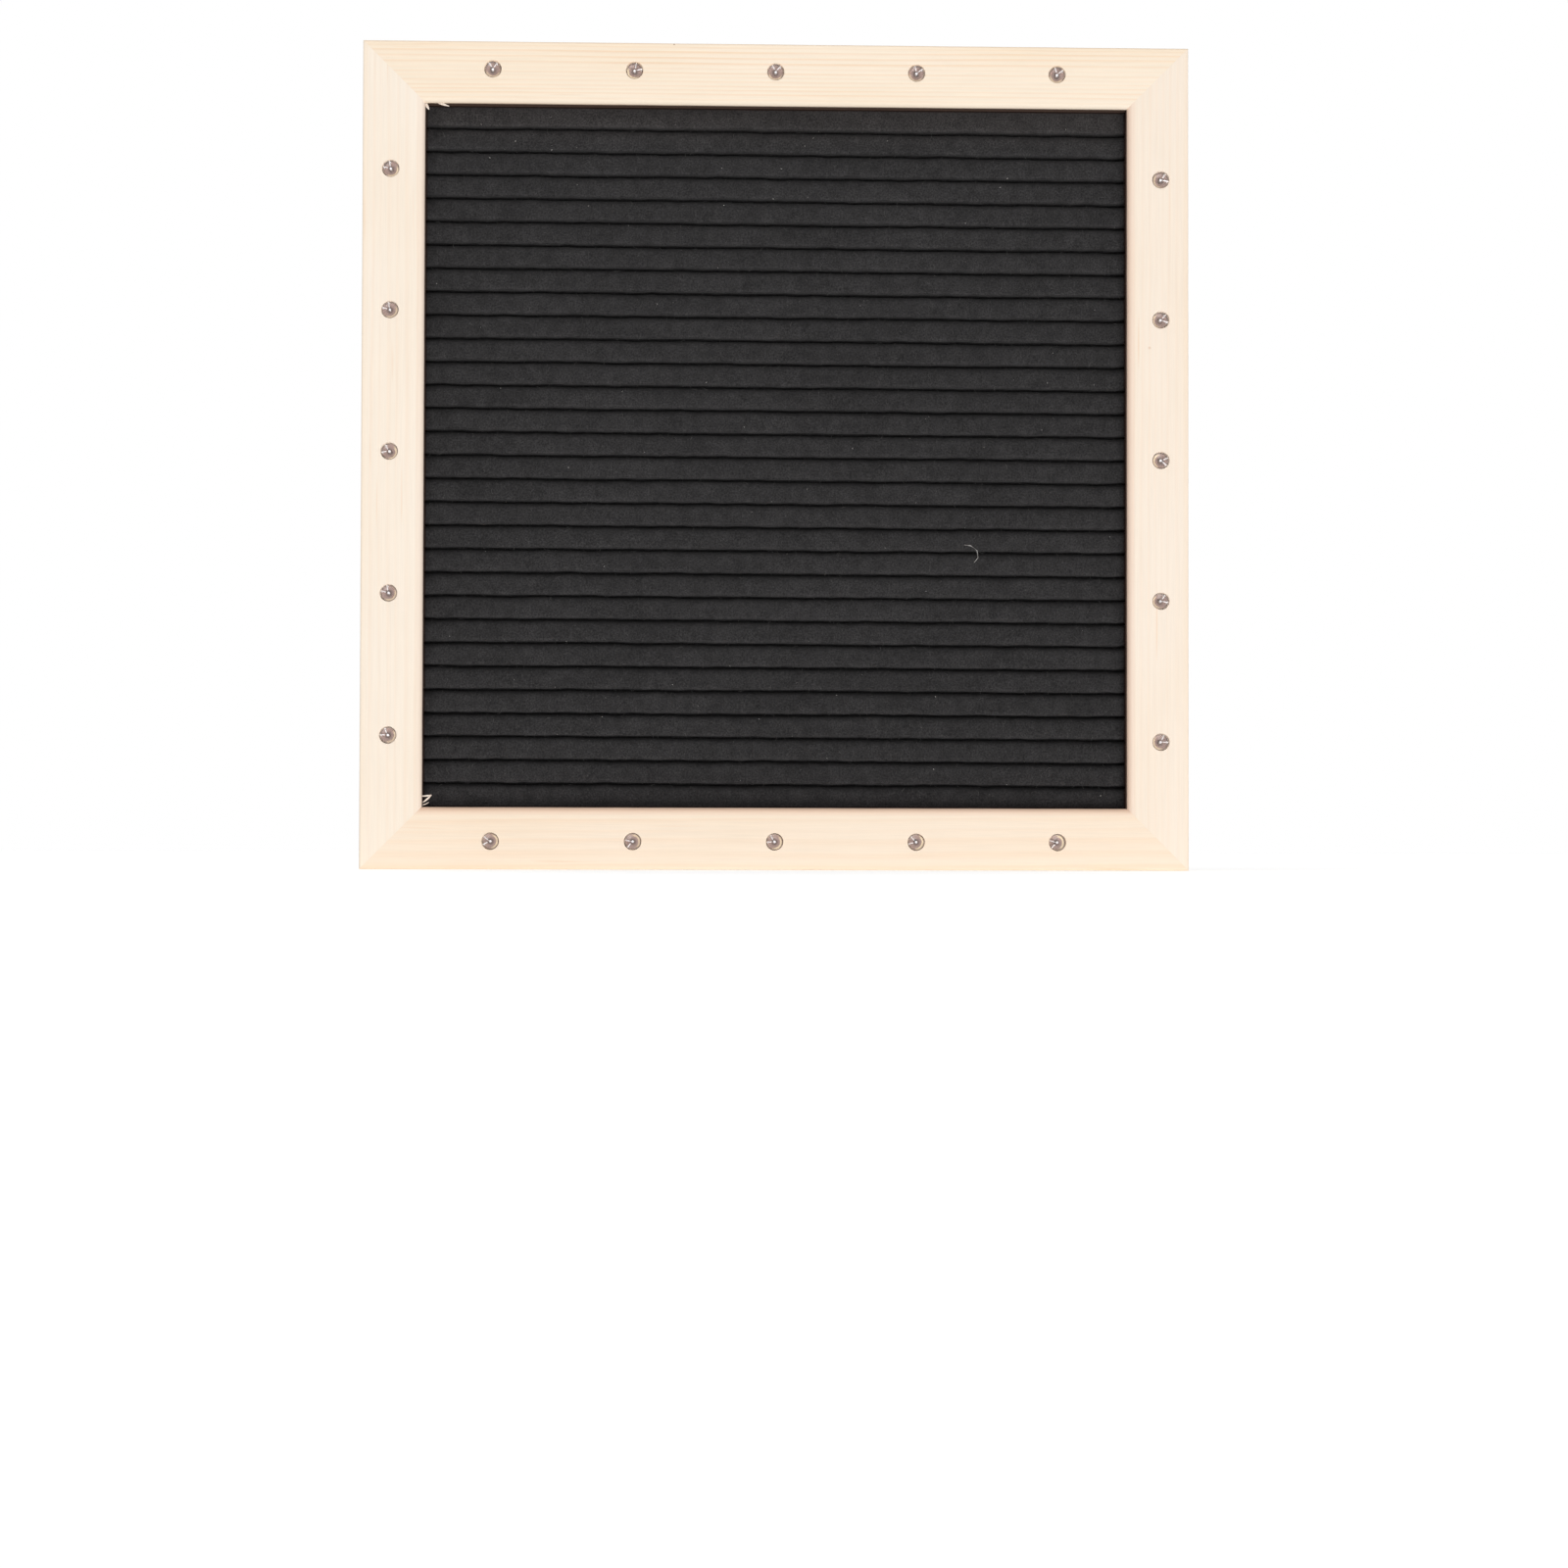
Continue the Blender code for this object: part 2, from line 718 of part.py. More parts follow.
def make_hanger():
    # A strip whose raised middle has teeth along its lower edge, cut from one bent sheet.
    end = hanger_length / 2
    flat = end - hanger_end
    slope = flat - hanger_rise
    high = fit + hanger_rise
    path = [(-end, fit), (-flat, fit), (-slope, high), (slope, high), (flat, fit), (end, fit)]
    section = path + [(x, y + hanger_sheet) for x, y in reversed(path)]
    bent = extruded("sawtooth_hanger", section, hanger_width, "Z")
    place = (0, front + back_outer, hanger_height)
    hanger = new_object("sawtooth_hanger", bent, parts, nickel, place)
    saw = extruded("hanger_teeth", teeth_outline(2 * slope), 2 * (high + hanger_sheet + past), "Y")
    cut(hanger, "hanger_teeth", saw, (0, front + back_outer, hanger_height - hanger_width / 2))
    holes = back_holes("hanger_holes", rivet_hole_profile(), rivet_sides, rivet_places())
    cut(hanger, "hanger_holes", holes)
    rivet = facing_back(turned("rivet", rivet_profile(), rivet_sides), back_outer)
    for number, place in enumerate(rivet_places(), 1):
        new_object(f"hanger_rivet_{number}", rivet, parts, nickel, place)


def teeth_outline(room):
    # A row of points that bites out the gaps between teeth, on a bar that lies below the strip.
    teeth = int(room / hanger_tooth)
    end = teeth / 2 * hanger_tooth
    outline = [(-end, -hanger_tooth)]
    for i in range(teeth):
        x = i * hanger_tooth - end
        outline += [(x, 0), (x + hanger_tooth / 2, hanger_bite)]
    return outline + [(end, 0), (end, -hanger_tooth)]


def tray_section():
    # Half of the moulded tray's outside from its floor to its lips, mirrored about its middle.
    wall = bay_width / 2 + tray_wall
    collar = tray_width / 2
    flange_back = back_inner - fit
    flange_front = flange_back - tray_flange_thickness
    half = [
        (tray_front, wall, tray_round),
        (flange_front, wall),
        (flange_front, collar + tray_flange),
        (flange_back, collar + tray_flange),
        (flange_back, collar),
        (tray_back, collar, tray_lip_round),
    ]
    corners = half + [(depth, -height, *rim) for depth, height, *rim in reversed(half)]
    return [(front + depth, height) for depth, height in rounded(corners, 2)]


def cover_section(grow=0.0):
    # A flat plate; grown, it is the groove that the cover slides in.
    middle = front + (cover_inner + cover_outer) / 2
    return rectangle(cover_thickness + 2 * grow, bay_width + 2 * (cover_tongue + grow), (middle, 0))


def bay_section():
    # The cells' room, with low ribs left standing between the cells.
    high = bay_width / 2
    corners = [(bay_floor, high), (cover_inner, high), (cover_inner, -high), (bay_floor, -high)]
    for i in range(cell_count - 1):
        middle = (i + 1) * cell_pitch - cell_pitch * cell_count / 2
        corners += [
            (bay_floor, middle - tray_rib / 2),
            (bay_floor + tray_rib_height, middle - tray_rib_top / 2),
            (bay_floor + tray_rib_height, middle + tray_rib_top / 2),
            (bay_floor, middle + tray_rib / 2),
        ]
    return [(front + depth, height) for depth, height in rounded(corners)]


def make_tray():
    shell = extruded("battery_tray", tray_section(), tray_length, "X")
    tray = new_object("battery_tray", shell, parts, black_plastic, (0, 0, tray_height_up))
    bay = extruded("cell_bay", bay_section(), bay_length, "X")
    cut(tray, "cell_bay", bay, ((bay_left + bay_right) / 2, 0, tray_height_up))
    cut_cover_way(tray)
    cut_switch_room(tray)
    for side in (-1, 1):
        place = (tray_left, 0, tray_height_up + side * wire_apart / 2)
        cut(tray, f"wire_notch_{side}", wire_notch(), place)


def cut_cover_way(tray):
    # The cover's way in: its own section, opened at the back between the two lips.
    length = tray_length / 2 + past - (cover_left - fit)
    middle = tray_length / 2 + past - length / 2
    groove = extruded("cover_groove", cover_section(fit), length, "X")
    cut(tray, "cover_groove", groove, (middle, 0, tray_height_up))
    depth = tray_back + past - cover_inner
    mouth = box(length, depth, bay_width, (middle, front + cover_inner + depth / 2, 0))
    cut(tray, "cover_mouth", mouth, (0, 0, tray_height_up))


def cut_switch_room(tray):
    # The switch's room is open to the wiring in front of it, under a roof level with the cover.
    depth = cover_inner - tray_front + past
    room = box(switch_room, depth, bay_width, (switch_middle, front + cover_inner - depth / 2, 0))
    cut(tray, "switch_room", room, (0, 0, tray_height_up))
    depth = tray_back + past - cover_outer
    middle = (switch_middle, front + cover_outer + depth / 2, 0)
    over = box(switch_room + 2 * tray_wall, depth, bay_width, middle)
    cut(tray, "switch_roof", over, (0, 0, tray_height_up))
    middle = (switch_middle, front + (cover_inner + cover_outer) / 2, 0)
    slot = box(stem_way_length, cover_thickness + 2 * past, stem_way_width, middle)
    cut(tray, "switch_slot", slot, (0, 0, tray_height_up))


def wire_notch():
    # A round-ended notch in the end wall, open towards the panel.
    half = wire_radius + fit
    start = tray_front - past
    end = wire_depth + half
    rim = half * full_round
    corners = [(start, -half), (end, -half, rim), (end, half, rim), (start, half)]
    outline = [(front + depth, height) for depth, height in rounded(corners)]
    return extruded("wire_notch", outline, 4 * tray_wall, "X")


def make_cover():
    middle = cover_left + cover_length / 2
    plate = extruded("battery_cover", cover_section(), cover_length, "X")
    grips = []
    for i in range(grip_count):
        x = cover_length / 2 - grip_inset - i * grip_pitch
        grips.append(box(grip_width, grip_height * 2, grip_length, (x, front + cover_outer, 0)))
    mesh = fuse("battery_cover", [plate] + grips)
    new_object("battery_cover", mesh, parts, black_plastic, (middle, 0, tray_height_up))


def slider_rest():
    return switch_middle - switch_travel / 2


def make_switch():
    # The body holds the slider's foot under its top and lets its stem through a slot.
    top = front + switch_back
    shell = box(switch_length, switch_height, switch_width, (0, top - switch_height / 2, 0))
    body = new_object("switch_body", shell, parts, steel, (switch_middle, 0, tray_height_up))
    foot_y = top - slider_foot_depth
    foot_length = slider_length + 2 * slider_foot
    foot_width = slider_width + 2 * slider_foot
    room_length = foot_length + switch_travel + 2 * fit
    room = box(room_length, slider_foot + 2 * fit, foot_width + 2 * fit, (0, foot_y, 0))
    cut(body, "switch_foot_room", room, (switch_middle, 0, tray_height_up))
    way_depth = slider_foot_depth + past
    stem_way = box(stem_way_length, way_depth, stem_way_width, (0, foot_y + way_depth / 2, 0))
    cut(body, "switch_stem_way", stem_way, (switch_middle, 0, tray_height_up))
    foot = box(foot_length, slider_foot, foot_width, (0, foot_y, 0))
    stem_depth = front + cover_outer + slider_stand_out - foot_y
    stem = box(slider_length, stem_depth, slider_width, (0, foot_y + stem_depth / 2, 0))
    slider = fuse("switch_slider", [foot, stem])
    new_object("switch_slider", slider, parts, white_plastic, (slider_rest(), 0, tray_height_up))


def spring_mesh(side):
    # A tapering coil, its first turn sunk into the plate; side is the way it points along X.
    turns = int(spring_turns * spring_points)
    points = []
    for i in range(turns + 1):
        share = i / turns
        angle = 2 * math.pi * i / spring_points
        radius = spring_base_radius + (spring_tip_radius - spring_base_radius) * share
        x = side * (share * (spring_room - 2 * spring_wire) + spring_seat)
        points.append((x, radius * math.cos(angle), radius * math.sin(angle)))
    return mesh_from(new_object("spring", tube("spring", points, spring_wire), cutters))


def make_contact(name, side, plates, spring):
    # A plate behind a cell's end, or across two, with a coil where a cell's flat end goes.
    wall = bay_left if side > 0 else bay_right
    x = wall + side * (fit + contact_sheet / 2)
    rib_top = bay_floor + tray_rib_height
    middle = front + (rib_top + cover_inner) / 2
    depth = cover_inner - rib_top - 2 * fit
    reach = cell_radius - contact_margin
    low = cell_heights[plates[0]] - reach
    high = cell_heights[plates[-1]] + reach
    plate = box(contact_sheet, depth, high - low, (x, middle, (low + high) / 2))
    shapes = [plate]
    if spring is not None:
        coil = spring_mesh(side)
        axis_y = front + bay_floor + cell_radius + cell_play
        seat = (x + side * contact_sheet / 2, axis_y, cell_heights[spring])
        coil.transform(Matrix.Translation(seat))
        shapes.append(coil)
    new_object(name, fuse(name, shapes), parts, nickel)


def make_contacts():
    make_contact("contact_negative", 1, [0], 0)
    make_contact("contact_link_left", 1, [1, 2], 2)
    make_contact("contact_link_right", -1, [0, 1], 1)
    make_contact("contact_positive", -1, [2], None)


def bend(before, corner, after, steps=3):
    # The points of a round bend in a wire's route.
    p, q, r = Vector(before), Vector(corner), Vector(after)
    start = q + (p - q).normalized() * wire_bend
    end = q + (r - q).normalized() * wire_bend
    points = []
    for step in range(steps + 1):
        t = step / steps
        points.append((1 - t) ** 2 * start + 2 * t * (1 - t) * q + t * t * end)
    return points


def make_wire(name, inset, drop, material):
    # From the tray straight into the left stile's channel, then up and round behind all the lights.
    x = half_width - inset
    low, high = inset, board_height - inset
    leave = tray_height_up - drop
    heights = [half_height - place for place in led_places("left_stile")]
    last = max(height for height in heights if height < tray_height_up - wire_apart)
    turns = [
        (tray_left + wire_tail, leave),
        (-x, leave),
        (-x, high),
        (x, high),
        (x, low),
        (-x, low),
        (-x, last + wire_past_leg),
    ]
    stops = [(a, front + wire_depth, b) for a, b in turns]
    points = [Vector(stops[0])]
    for i in range(1, len(stops) - 1):
        points += bend(stops[i - 1], stops[i], stops[i + 1])
    points.append(Vector(stops[-1]))
    new_object(name, tube(name, points, wire_radius), parts, material)


def make_wires():
    make_wire("wire_positive", led_inset - led_leg_pitch / 2, wire_apart / 2, red_cover)
    make_wire("wire_negative", led_inset + led_leg_pitch / 2, -wire_apart / 2, black_cover)


make_frame()
make_corner_fasteners()
along_rails("led", led_mesh(), clear_resin, led_places)
make_core()
make_felt()
make_panel_points()
make_back_board()
make_back_pins()
make_hanger()
make_tray()
make_cover()
make_switch()
make_contacts()
make_wires()
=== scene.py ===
import math

import bmesh
import bpy
from mathutils import Matrix, Vector, noise


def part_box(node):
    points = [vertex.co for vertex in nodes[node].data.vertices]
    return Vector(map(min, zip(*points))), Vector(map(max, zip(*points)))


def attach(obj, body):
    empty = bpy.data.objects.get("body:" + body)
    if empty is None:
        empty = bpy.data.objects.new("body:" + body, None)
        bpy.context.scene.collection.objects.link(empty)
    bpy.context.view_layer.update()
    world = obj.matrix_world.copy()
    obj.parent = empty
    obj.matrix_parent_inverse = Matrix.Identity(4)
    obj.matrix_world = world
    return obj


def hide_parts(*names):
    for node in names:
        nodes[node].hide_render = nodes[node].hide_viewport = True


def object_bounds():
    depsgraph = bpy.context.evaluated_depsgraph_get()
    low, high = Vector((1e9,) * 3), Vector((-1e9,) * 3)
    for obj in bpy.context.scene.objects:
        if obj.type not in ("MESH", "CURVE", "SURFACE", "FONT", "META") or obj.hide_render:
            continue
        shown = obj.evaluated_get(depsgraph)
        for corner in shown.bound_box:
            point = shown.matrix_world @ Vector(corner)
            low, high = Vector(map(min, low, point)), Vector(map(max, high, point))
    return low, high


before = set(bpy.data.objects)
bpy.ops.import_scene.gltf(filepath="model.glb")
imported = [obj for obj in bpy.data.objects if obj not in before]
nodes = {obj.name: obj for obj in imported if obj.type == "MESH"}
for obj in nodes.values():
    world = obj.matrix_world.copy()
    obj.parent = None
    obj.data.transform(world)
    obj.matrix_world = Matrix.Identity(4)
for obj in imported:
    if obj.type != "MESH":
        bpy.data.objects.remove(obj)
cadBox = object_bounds()
mm = 0.001

# The board's own places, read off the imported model
boardLow, boardHigh = cadBox
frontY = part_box("top_rail")[0].y
boardSide = boardHigh[0] - boardLow[0]
boardTop = boardHigh[2]
middleZ = (boardLow[2] + boardHigh[2]) / 2
sides = ("bottom", "right", "top", "left")
ledNodes = [f"led_{side}_{i}" for side in sides for i in range(1, 6)]
inwards = {"bottom": (0, 1), "right": (-1, 0), "top": (0, -1), "left": (1, 0)}    # along X and Z
flatOffset = 0.15 * mm        # a flange's flat puts its box's middle this far from the light's axis


def ledPlace(name):
    low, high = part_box(name)
    x, z = inwards[name.split("_")[1]]
    return Vector(((low.x + high.x) / 2 + x * flatOffset, frontY, (low.z + high.z) / 2 + z * flatOffset))


# Small tools for node trees, which serve shaders and geometry alike

def feed(tree, socket, value):
    if isinstance(value, bpy.types.NodeSocket):
        tree.links.new(value, socket)
    elif socket.type == "RGBA":
        socket.default_value = (*value, 1)
    else:
        socket.default_value = value


def add(tree, kind, inputs=None, **settings):
    made = tree.nodes.new(kind)
    for name, value in settings.items():
        setattr(made, name, value)
    for name, value in (inputs or {}).items():
        feed(tree, made.inputs[name], value)
    return made


def maths(tree, operation, *values):
    made = add(tree, "ShaderNodeMath", operation=operation)
    for socket, value in zip(made.inputs, values):
        feed(tree, socket, value)
    return made.outputs[0]


def centred(tree, value):
    return maths(tree, "SUBTRACT", value, 0.5)


def axes(tree, vector):
    return add(tree, "ShaderNodeSeparateXYZ", {"Vector": vector}).outputs


def point(tree, **parts):
    return add(tree, "ShaderNodeCombineXYZ", parts).outputs[0]


def mixColour(tree, factor, first, second, mode="MIX"):
    made = add(tree, "ShaderNodeMix", data_type="RGBA", blend_type=mode)
    for index, value in ((0, factor), (6, first), (7, second)):
        feed(tree, made.inputs[index], value)
    return made.outputs[2]


def tinted(tree, colour, tone):
    return mixColour(tree, 1.0, colour, tone, "MULTIPLY")


def ramp(tree, value, *stops):
    made = add(tree, "ShaderNodeValToRGB", {"Fac": value})
    marks = made.color_ramp.elements
    while len(marks) < len(stops):
        marks.new(0.5)
    for mark, (place, level) in zip(marks, stops):
        mark.position = place
        mark.color = (*level, 1) if isinstance(level, tuple) else (level, level, level, 1)
    return made.outputs["Color"]


def mapped(tree, vector, turn=(0, 0, 0), shift=(0, 0, 0)):
    made = add(tree, "ShaderNodeMapping", {"Vector": vector, "Rotation": turn, "Location": shift})
    return made.outputs[0]


def noiseOf(tree, vector, scale, detail=2.0, roughness=0.5, shift=(0, 0, 0)):
    # The scale is how many patches a metre holds, one number or one for each axis.
    if not isinstance(scale, tuple):
        scale = (scale, scale, scale)
    spot = add(tree, "ShaderNodeVectorMath", {0: vector, 1: scale, 2: shift}, operation="MULTIPLY_ADD")
    made = add(tree, "ShaderNodeTexNoise", {
        "Vector": spot.outputs[0], "Scale": 1.0, "Detail": detail, "Roughness": roughness})
    return made.outputs[0]


def dress(tree, shader, **inputs):
    for name, value in inputs.items():
        feed(tree, shader.inputs[name.replace("_", " ")], value)


def newMaterial(name, **constants):
    # A material with its shader and the object's own coordinates to paint by.
    material = bpy.data.materials.new(name)
    material.use_nodes = True
    tree = material.node_tree
    shader = tree.nodes["Principled BSDF"]
    dress(tree, shader, **constants)
    return material, tree, shader, add(tree, "ShaderNodeTexCoord").outputs["Object"]


def bumpFrom(tree, shader, height, depth, strength):
    bump = add(tree, "ShaderNodeBump", {"Height": height, "Distance": depth * mm, "Strength": strength})
    dress(tree, shader, Normal=bump.outputs["Normal"])


def linear(red, green, blue):
    # A screen colour of 0 to 255 as the linear colour that a shader takes.
    levels = [c / 255 for c in (red, green, blue)]
    return tuple(c / 12.92 if c < 0.04045 else ((c + 0.055) / 1.055) ** 2.4 for c in levels)


# Small tools for pieces and their meshes

def newPiece(name, mesh, material=None):
    piece = bpy.data.objects.new(name, mesh)
    bpy.context.scene.collection.objects.link(piece)
    if material:
        mesh.materials.append(material)
    return piece


def settled(piece):
    # Applies every modifier, so that one plain mesh is left.
    bpy.context.view_layer.update()
    graph = bpy.context.evaluated_depsgraph_get()
    mesh = bpy.data.meshes.new_from_object(piece.evaluated_get(graph))
    mesh.name = piece.name
    old = piece.data
    piece.modifiers.clear()
    piece.data = mesh
    bpy.data.meshes.remove(old)


def meshFrom(shape, name):
    # The mesh of a finished closed shape, with its faces turned outwards.
    bmesh.ops.recalc_face_normals(shape, faces=shape.faces)
    mesh = bpy.data.meshes.new(name)
    shape.to_mesh(mesh)
    shape.free()
    return mesh


def joinedMesh(name, meshes):
    # One mesh from several, which are used up.
    shape = bmesh.new()
    for mesh in meshes:
        shape.from_mesh(mesh)
        bpy.data.meshes.remove(mesh)
    joined = bpy.data.meshes.new(name)
    shape.to_mesh(joined)
    shape.free()
    return joined


def loft(shape, rows):
    # Faces from row to row of points that go once round, and one to close each end.
    for low, high in zip(rows, rows[1:]):
        for i in range(len(low)):
            j = (i + 1) % len(low)
            shape.faces.new((low[i], low[j], high[j], high[i]))
    shape.faces.new(rows[0])
    shape.faces.new(rows[-1])


def roundAngles(count):
    return [2 * math.pi * i / count for i in range(count)]


def turnedMesh(name, profile, sidesCount):
    # A closed profile of (radius, y) points in mm, spun about Y.
    shape = bmesh.new()
    rings = []
    for radius, y in profile:
        angles = roundAngles(sidesCount) if radius else [0]
        rings.append([shape.verts.new((radius * mm * math.cos(a), y * mm, radius * mm * math.sin(a)))
                      for a in angles])
    for first, second in zip(rings, rings[1:]):
        for i in range(sidesCount):
            j = (i + 1) % sidesCount
            corners = (first[i % len(first)], first[j % len(first)],
                       second[j % len(second)], second[i % len(second)])
            shape.faces.new(list(dict.fromkeys(corners)))
    return meshFrom(shape, name)


# Small tools for geometry trees

socketKinds = {float: "Float", int: "Int", bpy.types.Object: "Object", bpy.types.Material: "Material"}


def newTree(name, values):
    # An empty geometry tree with an input for each named value.
    tree = bpy.data.node_groups.new(name, "GeometryNodeTree")
    for way in ("INPUT", "OUTPUT"):
        tree.interface.new_socket("Geometry", in_out=way, socket_type="NodeSocketGeometry")
    for label, value in values.items():
        kind = "NodeSocket" + socketKinds[type(value)]
        tree.interface.new_socket(label, in_out="INPUT", socket_type=kind)
    return tree, tree.nodes.new("NodeGroupInput").outputs


def endTree(tree, geometry, material):
    real = add(tree, "GeometryNodeRealizeInstances", {"Geometry": geometry})
    painted = add(tree, "GeometryNodeSetMaterial", {"Geometry": real.outputs[0], "Material": material})
    tree.links.new(painted.outputs[0], tree.nodes.new("NodeGroupOutput").inputs[0])
    return tree


def runTree(piece, tree, values):
    # Puts the tree on a piece and sets each input by its identifier.
    modifier = piece.modifiers.new(tree.name, "NODES")
    modifier.node_group = tree
    for item in tree.interface.items_tree:
        if item.in_out == "INPUT" and item.name in values:
            modifier[item.identifier] = values[item.name]


def randomOf(tree, kind, low, high, seed):
    made = add(tree, "FunctionNodeRandomValue", {"Min": low, "Max": high, "Seed": seed}, data_type=kind)
    return [socket for socket in made.outputs if socket.enabled][0]


def copiesOf(tree, shape, points, turn, scale=(1, 1, 1)):
    # A copy of an object's shape at each point, turned by angles about X, Y and Z.
    pattern = add(tree, "GeometryNodeObjectInfo", {"Object": shape}).outputs["Geometry"]
    rotation = add(tree, "FunctionNodeEulerToRotation", {"Euler": turn}).outputs[0]
    return add(tree, "GeometryNodeInstanceOnPoints", {
        "Points": points, "Instance": pattern, "Rotation": rotation, "Scale": scale}).outputs[0]


# Camera and lights

view = {
    "place": (-0.02436, -0.91165, 0.00683),
    "turn": (91.2410, -0.1328, -1.7158),     # degrees
    "lens": 67.5,
    "sensor": 36.0,
    "clip": 0.01,
    "frame": 1600,                           # the photograph's side in pixels
    "board": 845,                            # and the board's in it
}


def makeCamera():
    data = bpy.data.cameras.new("camera")
    data.lens = view["lens"]
    data.sensor_width = view["sensor"]
    data.clip_start = view["clip"]
    camera = bpy.data.objects.new("camera", data)
    camera.location = view["place"]
    camera.rotation_euler = [math.radians(a) for a in view["turn"]]
    bpy.context.scene.collection.objects.link(camera)
    bpy.context.scene.camera = camera


def pixelPlace(x, y, depth):
    # The point at a depth behind the board's face, in mm, that a pixel of the photograph shows.
    camera = bpy.context.scene.camera
    half = view["frame"] / 2
    reach = view["lens"] / view["sensor"] * view["frame"]
    ray = camera.rotation_euler.to_matrix() @ Vector((x - half, half - y, -reach))
    return camera.location + ray * ((frontY + depth * mm - camera.location.y) / ray.y)


lighting = {
    "sky": 0.56,                 # what the plain surroundings give
    "lamps": {                   # watts, place, side
        "keyLamp": (41.2, (0.80, -2.20, -1.30), 1.3),
        "topLamp": (3.2, (-0.7, -0.7, 1.2), 0.9),
    },
    "floorSide": 8.0,
    "floorDrop": 0.1,            # mm under the board
    "floorColour": (0.80, 0.80, 0.80),
    "floorGlow": 0.5,
}


def makeLamp(name, watts, place, size):
    data = bpy.data.lights.new(name, "AREA")
    data.energy = watts
    data.shape = "SQUARE"
    data.size = size
    lamp = bpy.data.objects.new(name, data)
    lamp.location = place
    aim = Vector((0, 0, middleZ)) - Vector(place)
    lamp.rotation_euler = aim.to_track_quat("-Z", "Y").to_euler()
    bpy.context.scene.collection.objects.link(lamp)


def seenDirectly(tree):
    # 1 for what the camera sees straight, mirrored or through something clear.
    path = add(tree, "ShaderNodeLightPath")
    seen = maths(tree, "MAXIMUM", path.outputs["Is Camera Ray"], path.outputs["Is Glossy Ray"])
    return maths(tree, "MAXIMUM", seen, path.outputs["Is Transmission Ray"])


def makeSurroundings():
    world = bpy.data.worlds.new("surroundings")
    bpy.context.scene.world = world
    world.use_nodes = True
    tree = world.node_tree
    level = maths(tree, "MULTIPLY_ADD", seenDirectly(tree), 1 - lighting["sky"], lighting["sky"])
    dress(tree, tree.nodes["Background"], Color=(1, 1, 1), Strength=level)
    for name, lamp in lighting["lamps"].items():
        makeLamp(name, *lamp)


def makeFloor():
    bpy.ops.mesh.primitive_plane_add(size=lighting["floorSide"], location=(0, 0, -lighting["floorDrop"] * mm))
    floor = bpy.context.object
    floor.name = "floor"
    material, tree, shader, _ = newMaterial(
        "palePaper", Roughness=0.9, Base_Color=lighting["floorColour"], Emission_Color=(1, 1, 1))
    dress(tree, shader, Emission_Strength=maths(tree, "MULTIPLY", seenDirectly(tree), lighting["floorGlow"]))
    floor.data.materials.append(material)
    floor.visible_shadow = False             # the key lamp stands below it


# Pine rails, in mm

rail = {
    "face": 19.05, "depth": 25.4, "lipDepth": 4.5, "lipWidth": 5.0, "channelFloor": 12.0,
    "channelWall": 5.4, "ledge": 19.2, "backLip": 2.0, "outerRound": 0.7, "innerRound": 1.7,
    "roundSteps": 7, "station": 3.0, "mitreGap": 0.004,
    # The edges aren't quite straight: how far they sway, how often along half a rail, how many mm a sway
    # takes round it, how far apart the rails' patterns are, and how late the sway dies out before the mitres
    "sway": 0.07, "swayAlong": 6, "swayRound": 9, "swayApart": 5, "swayFade": 8,
    "boreRadius": 2.62, "boreChamfer": 0.06, "seatRadius": 3.5, "seatDepth": 5.3, "boreSides": 40,
    "cutPast": 1.0, "sharpAbove": 35,        # degrees
}
openingHalf = boardSide / 2 - rail["face"] * mm

pineLooks = {
    # Early and late wood, how strong the rings show, ring spacing in mm, ring tilt, pattern shift,
    # how far the rings wander in mm, and how strong the painted shade along the inner arris is
    # Each rail's tones differ a little, as boards do, and are also set lighter or darker to even out how the
    # lamps light that rail, which is painted light
    "top": {"early": (254, 239, 219), "late": (248, 217, 184), "rings": 0.85, "spacing": 1.45,
            "tilt": 0.25, "shift": (0.31, 0.07, 0.013), "wander": 0.7, "innerArrisShade": 0.0},
    "bottom": {"early": (251, 234, 214), "late": (247, 216, 184), "rings": 0.42, "spacing": 3.4,
               "tilt": 1.2, "shift": (1.73, 0.21, 0.054), "wander": 1.6, "innerArrisShade": 0.9},
    "left": {"early": (253, 241, 226), "late": (249, 226, 203), "rings": 0.42, "spacing": 2.9,
             "tilt": 0.9, "shift": (2.91, 0.13, 0.031), "wander": 1.1, "innerArrisShade": 0.35},
    "right": {"early": (251, 237, 221), "late": (248, 224, 200), "rings": 0.40, "spacing": 2.3,
              "tilt": 0.8, "shift": (4.17, 0.37, 0.022), "wander": 0.9, "innerArrisShade": 0.75},
}

pineGrain = {
    # Patches to a metre along the grain, into the wood and across the grain
    "bends": (9, 30, 30), "uneven": (2, 160, 160), "fading": (14, 90, 90),
    "fibres": (55, 1900, 1900), "patches": (12, 45, 45), "streaks": (22, 700, 700),
    "unevenBy": 1.6,                         # in rings
    "boldBy": 0.75, "boldLeast": 0.35,       # how much one ring is bolder than the next
    # The second colour here is the painted shade for the rails' inner arris
    "streakColour": (240, 206, 172), "innerArrisShadeColour": (0.90, 0.76, 0.71),
    # Painted shadow on the lip's inner side: how strong, its colour, and from what inset to what depth it
    # reaches
    "lipShadow": 0.97, "lipShadowColour": (0.060, 0.028, 0.018), "lipShadowInset": 0.96, "lipShadowDepth": 1.1,
}

# Specks on the rails: pixel, radius in mm, screen colour
woodSpots = {"top": [(688, 45, 0.40, (176, 140, 112))], "right": [(1173, 355, 0.55, (232, 206, 182))]}


def fromBoardMiddle(tree, spot):
    # How far a place is from the board's middle, across or up, whichever is more.
    return maths(tree, "MAXIMUM", maths(tree, "ABSOLUTE", spot["X"]), maths(tree, "ABSOLUTE", spot["Z"]))


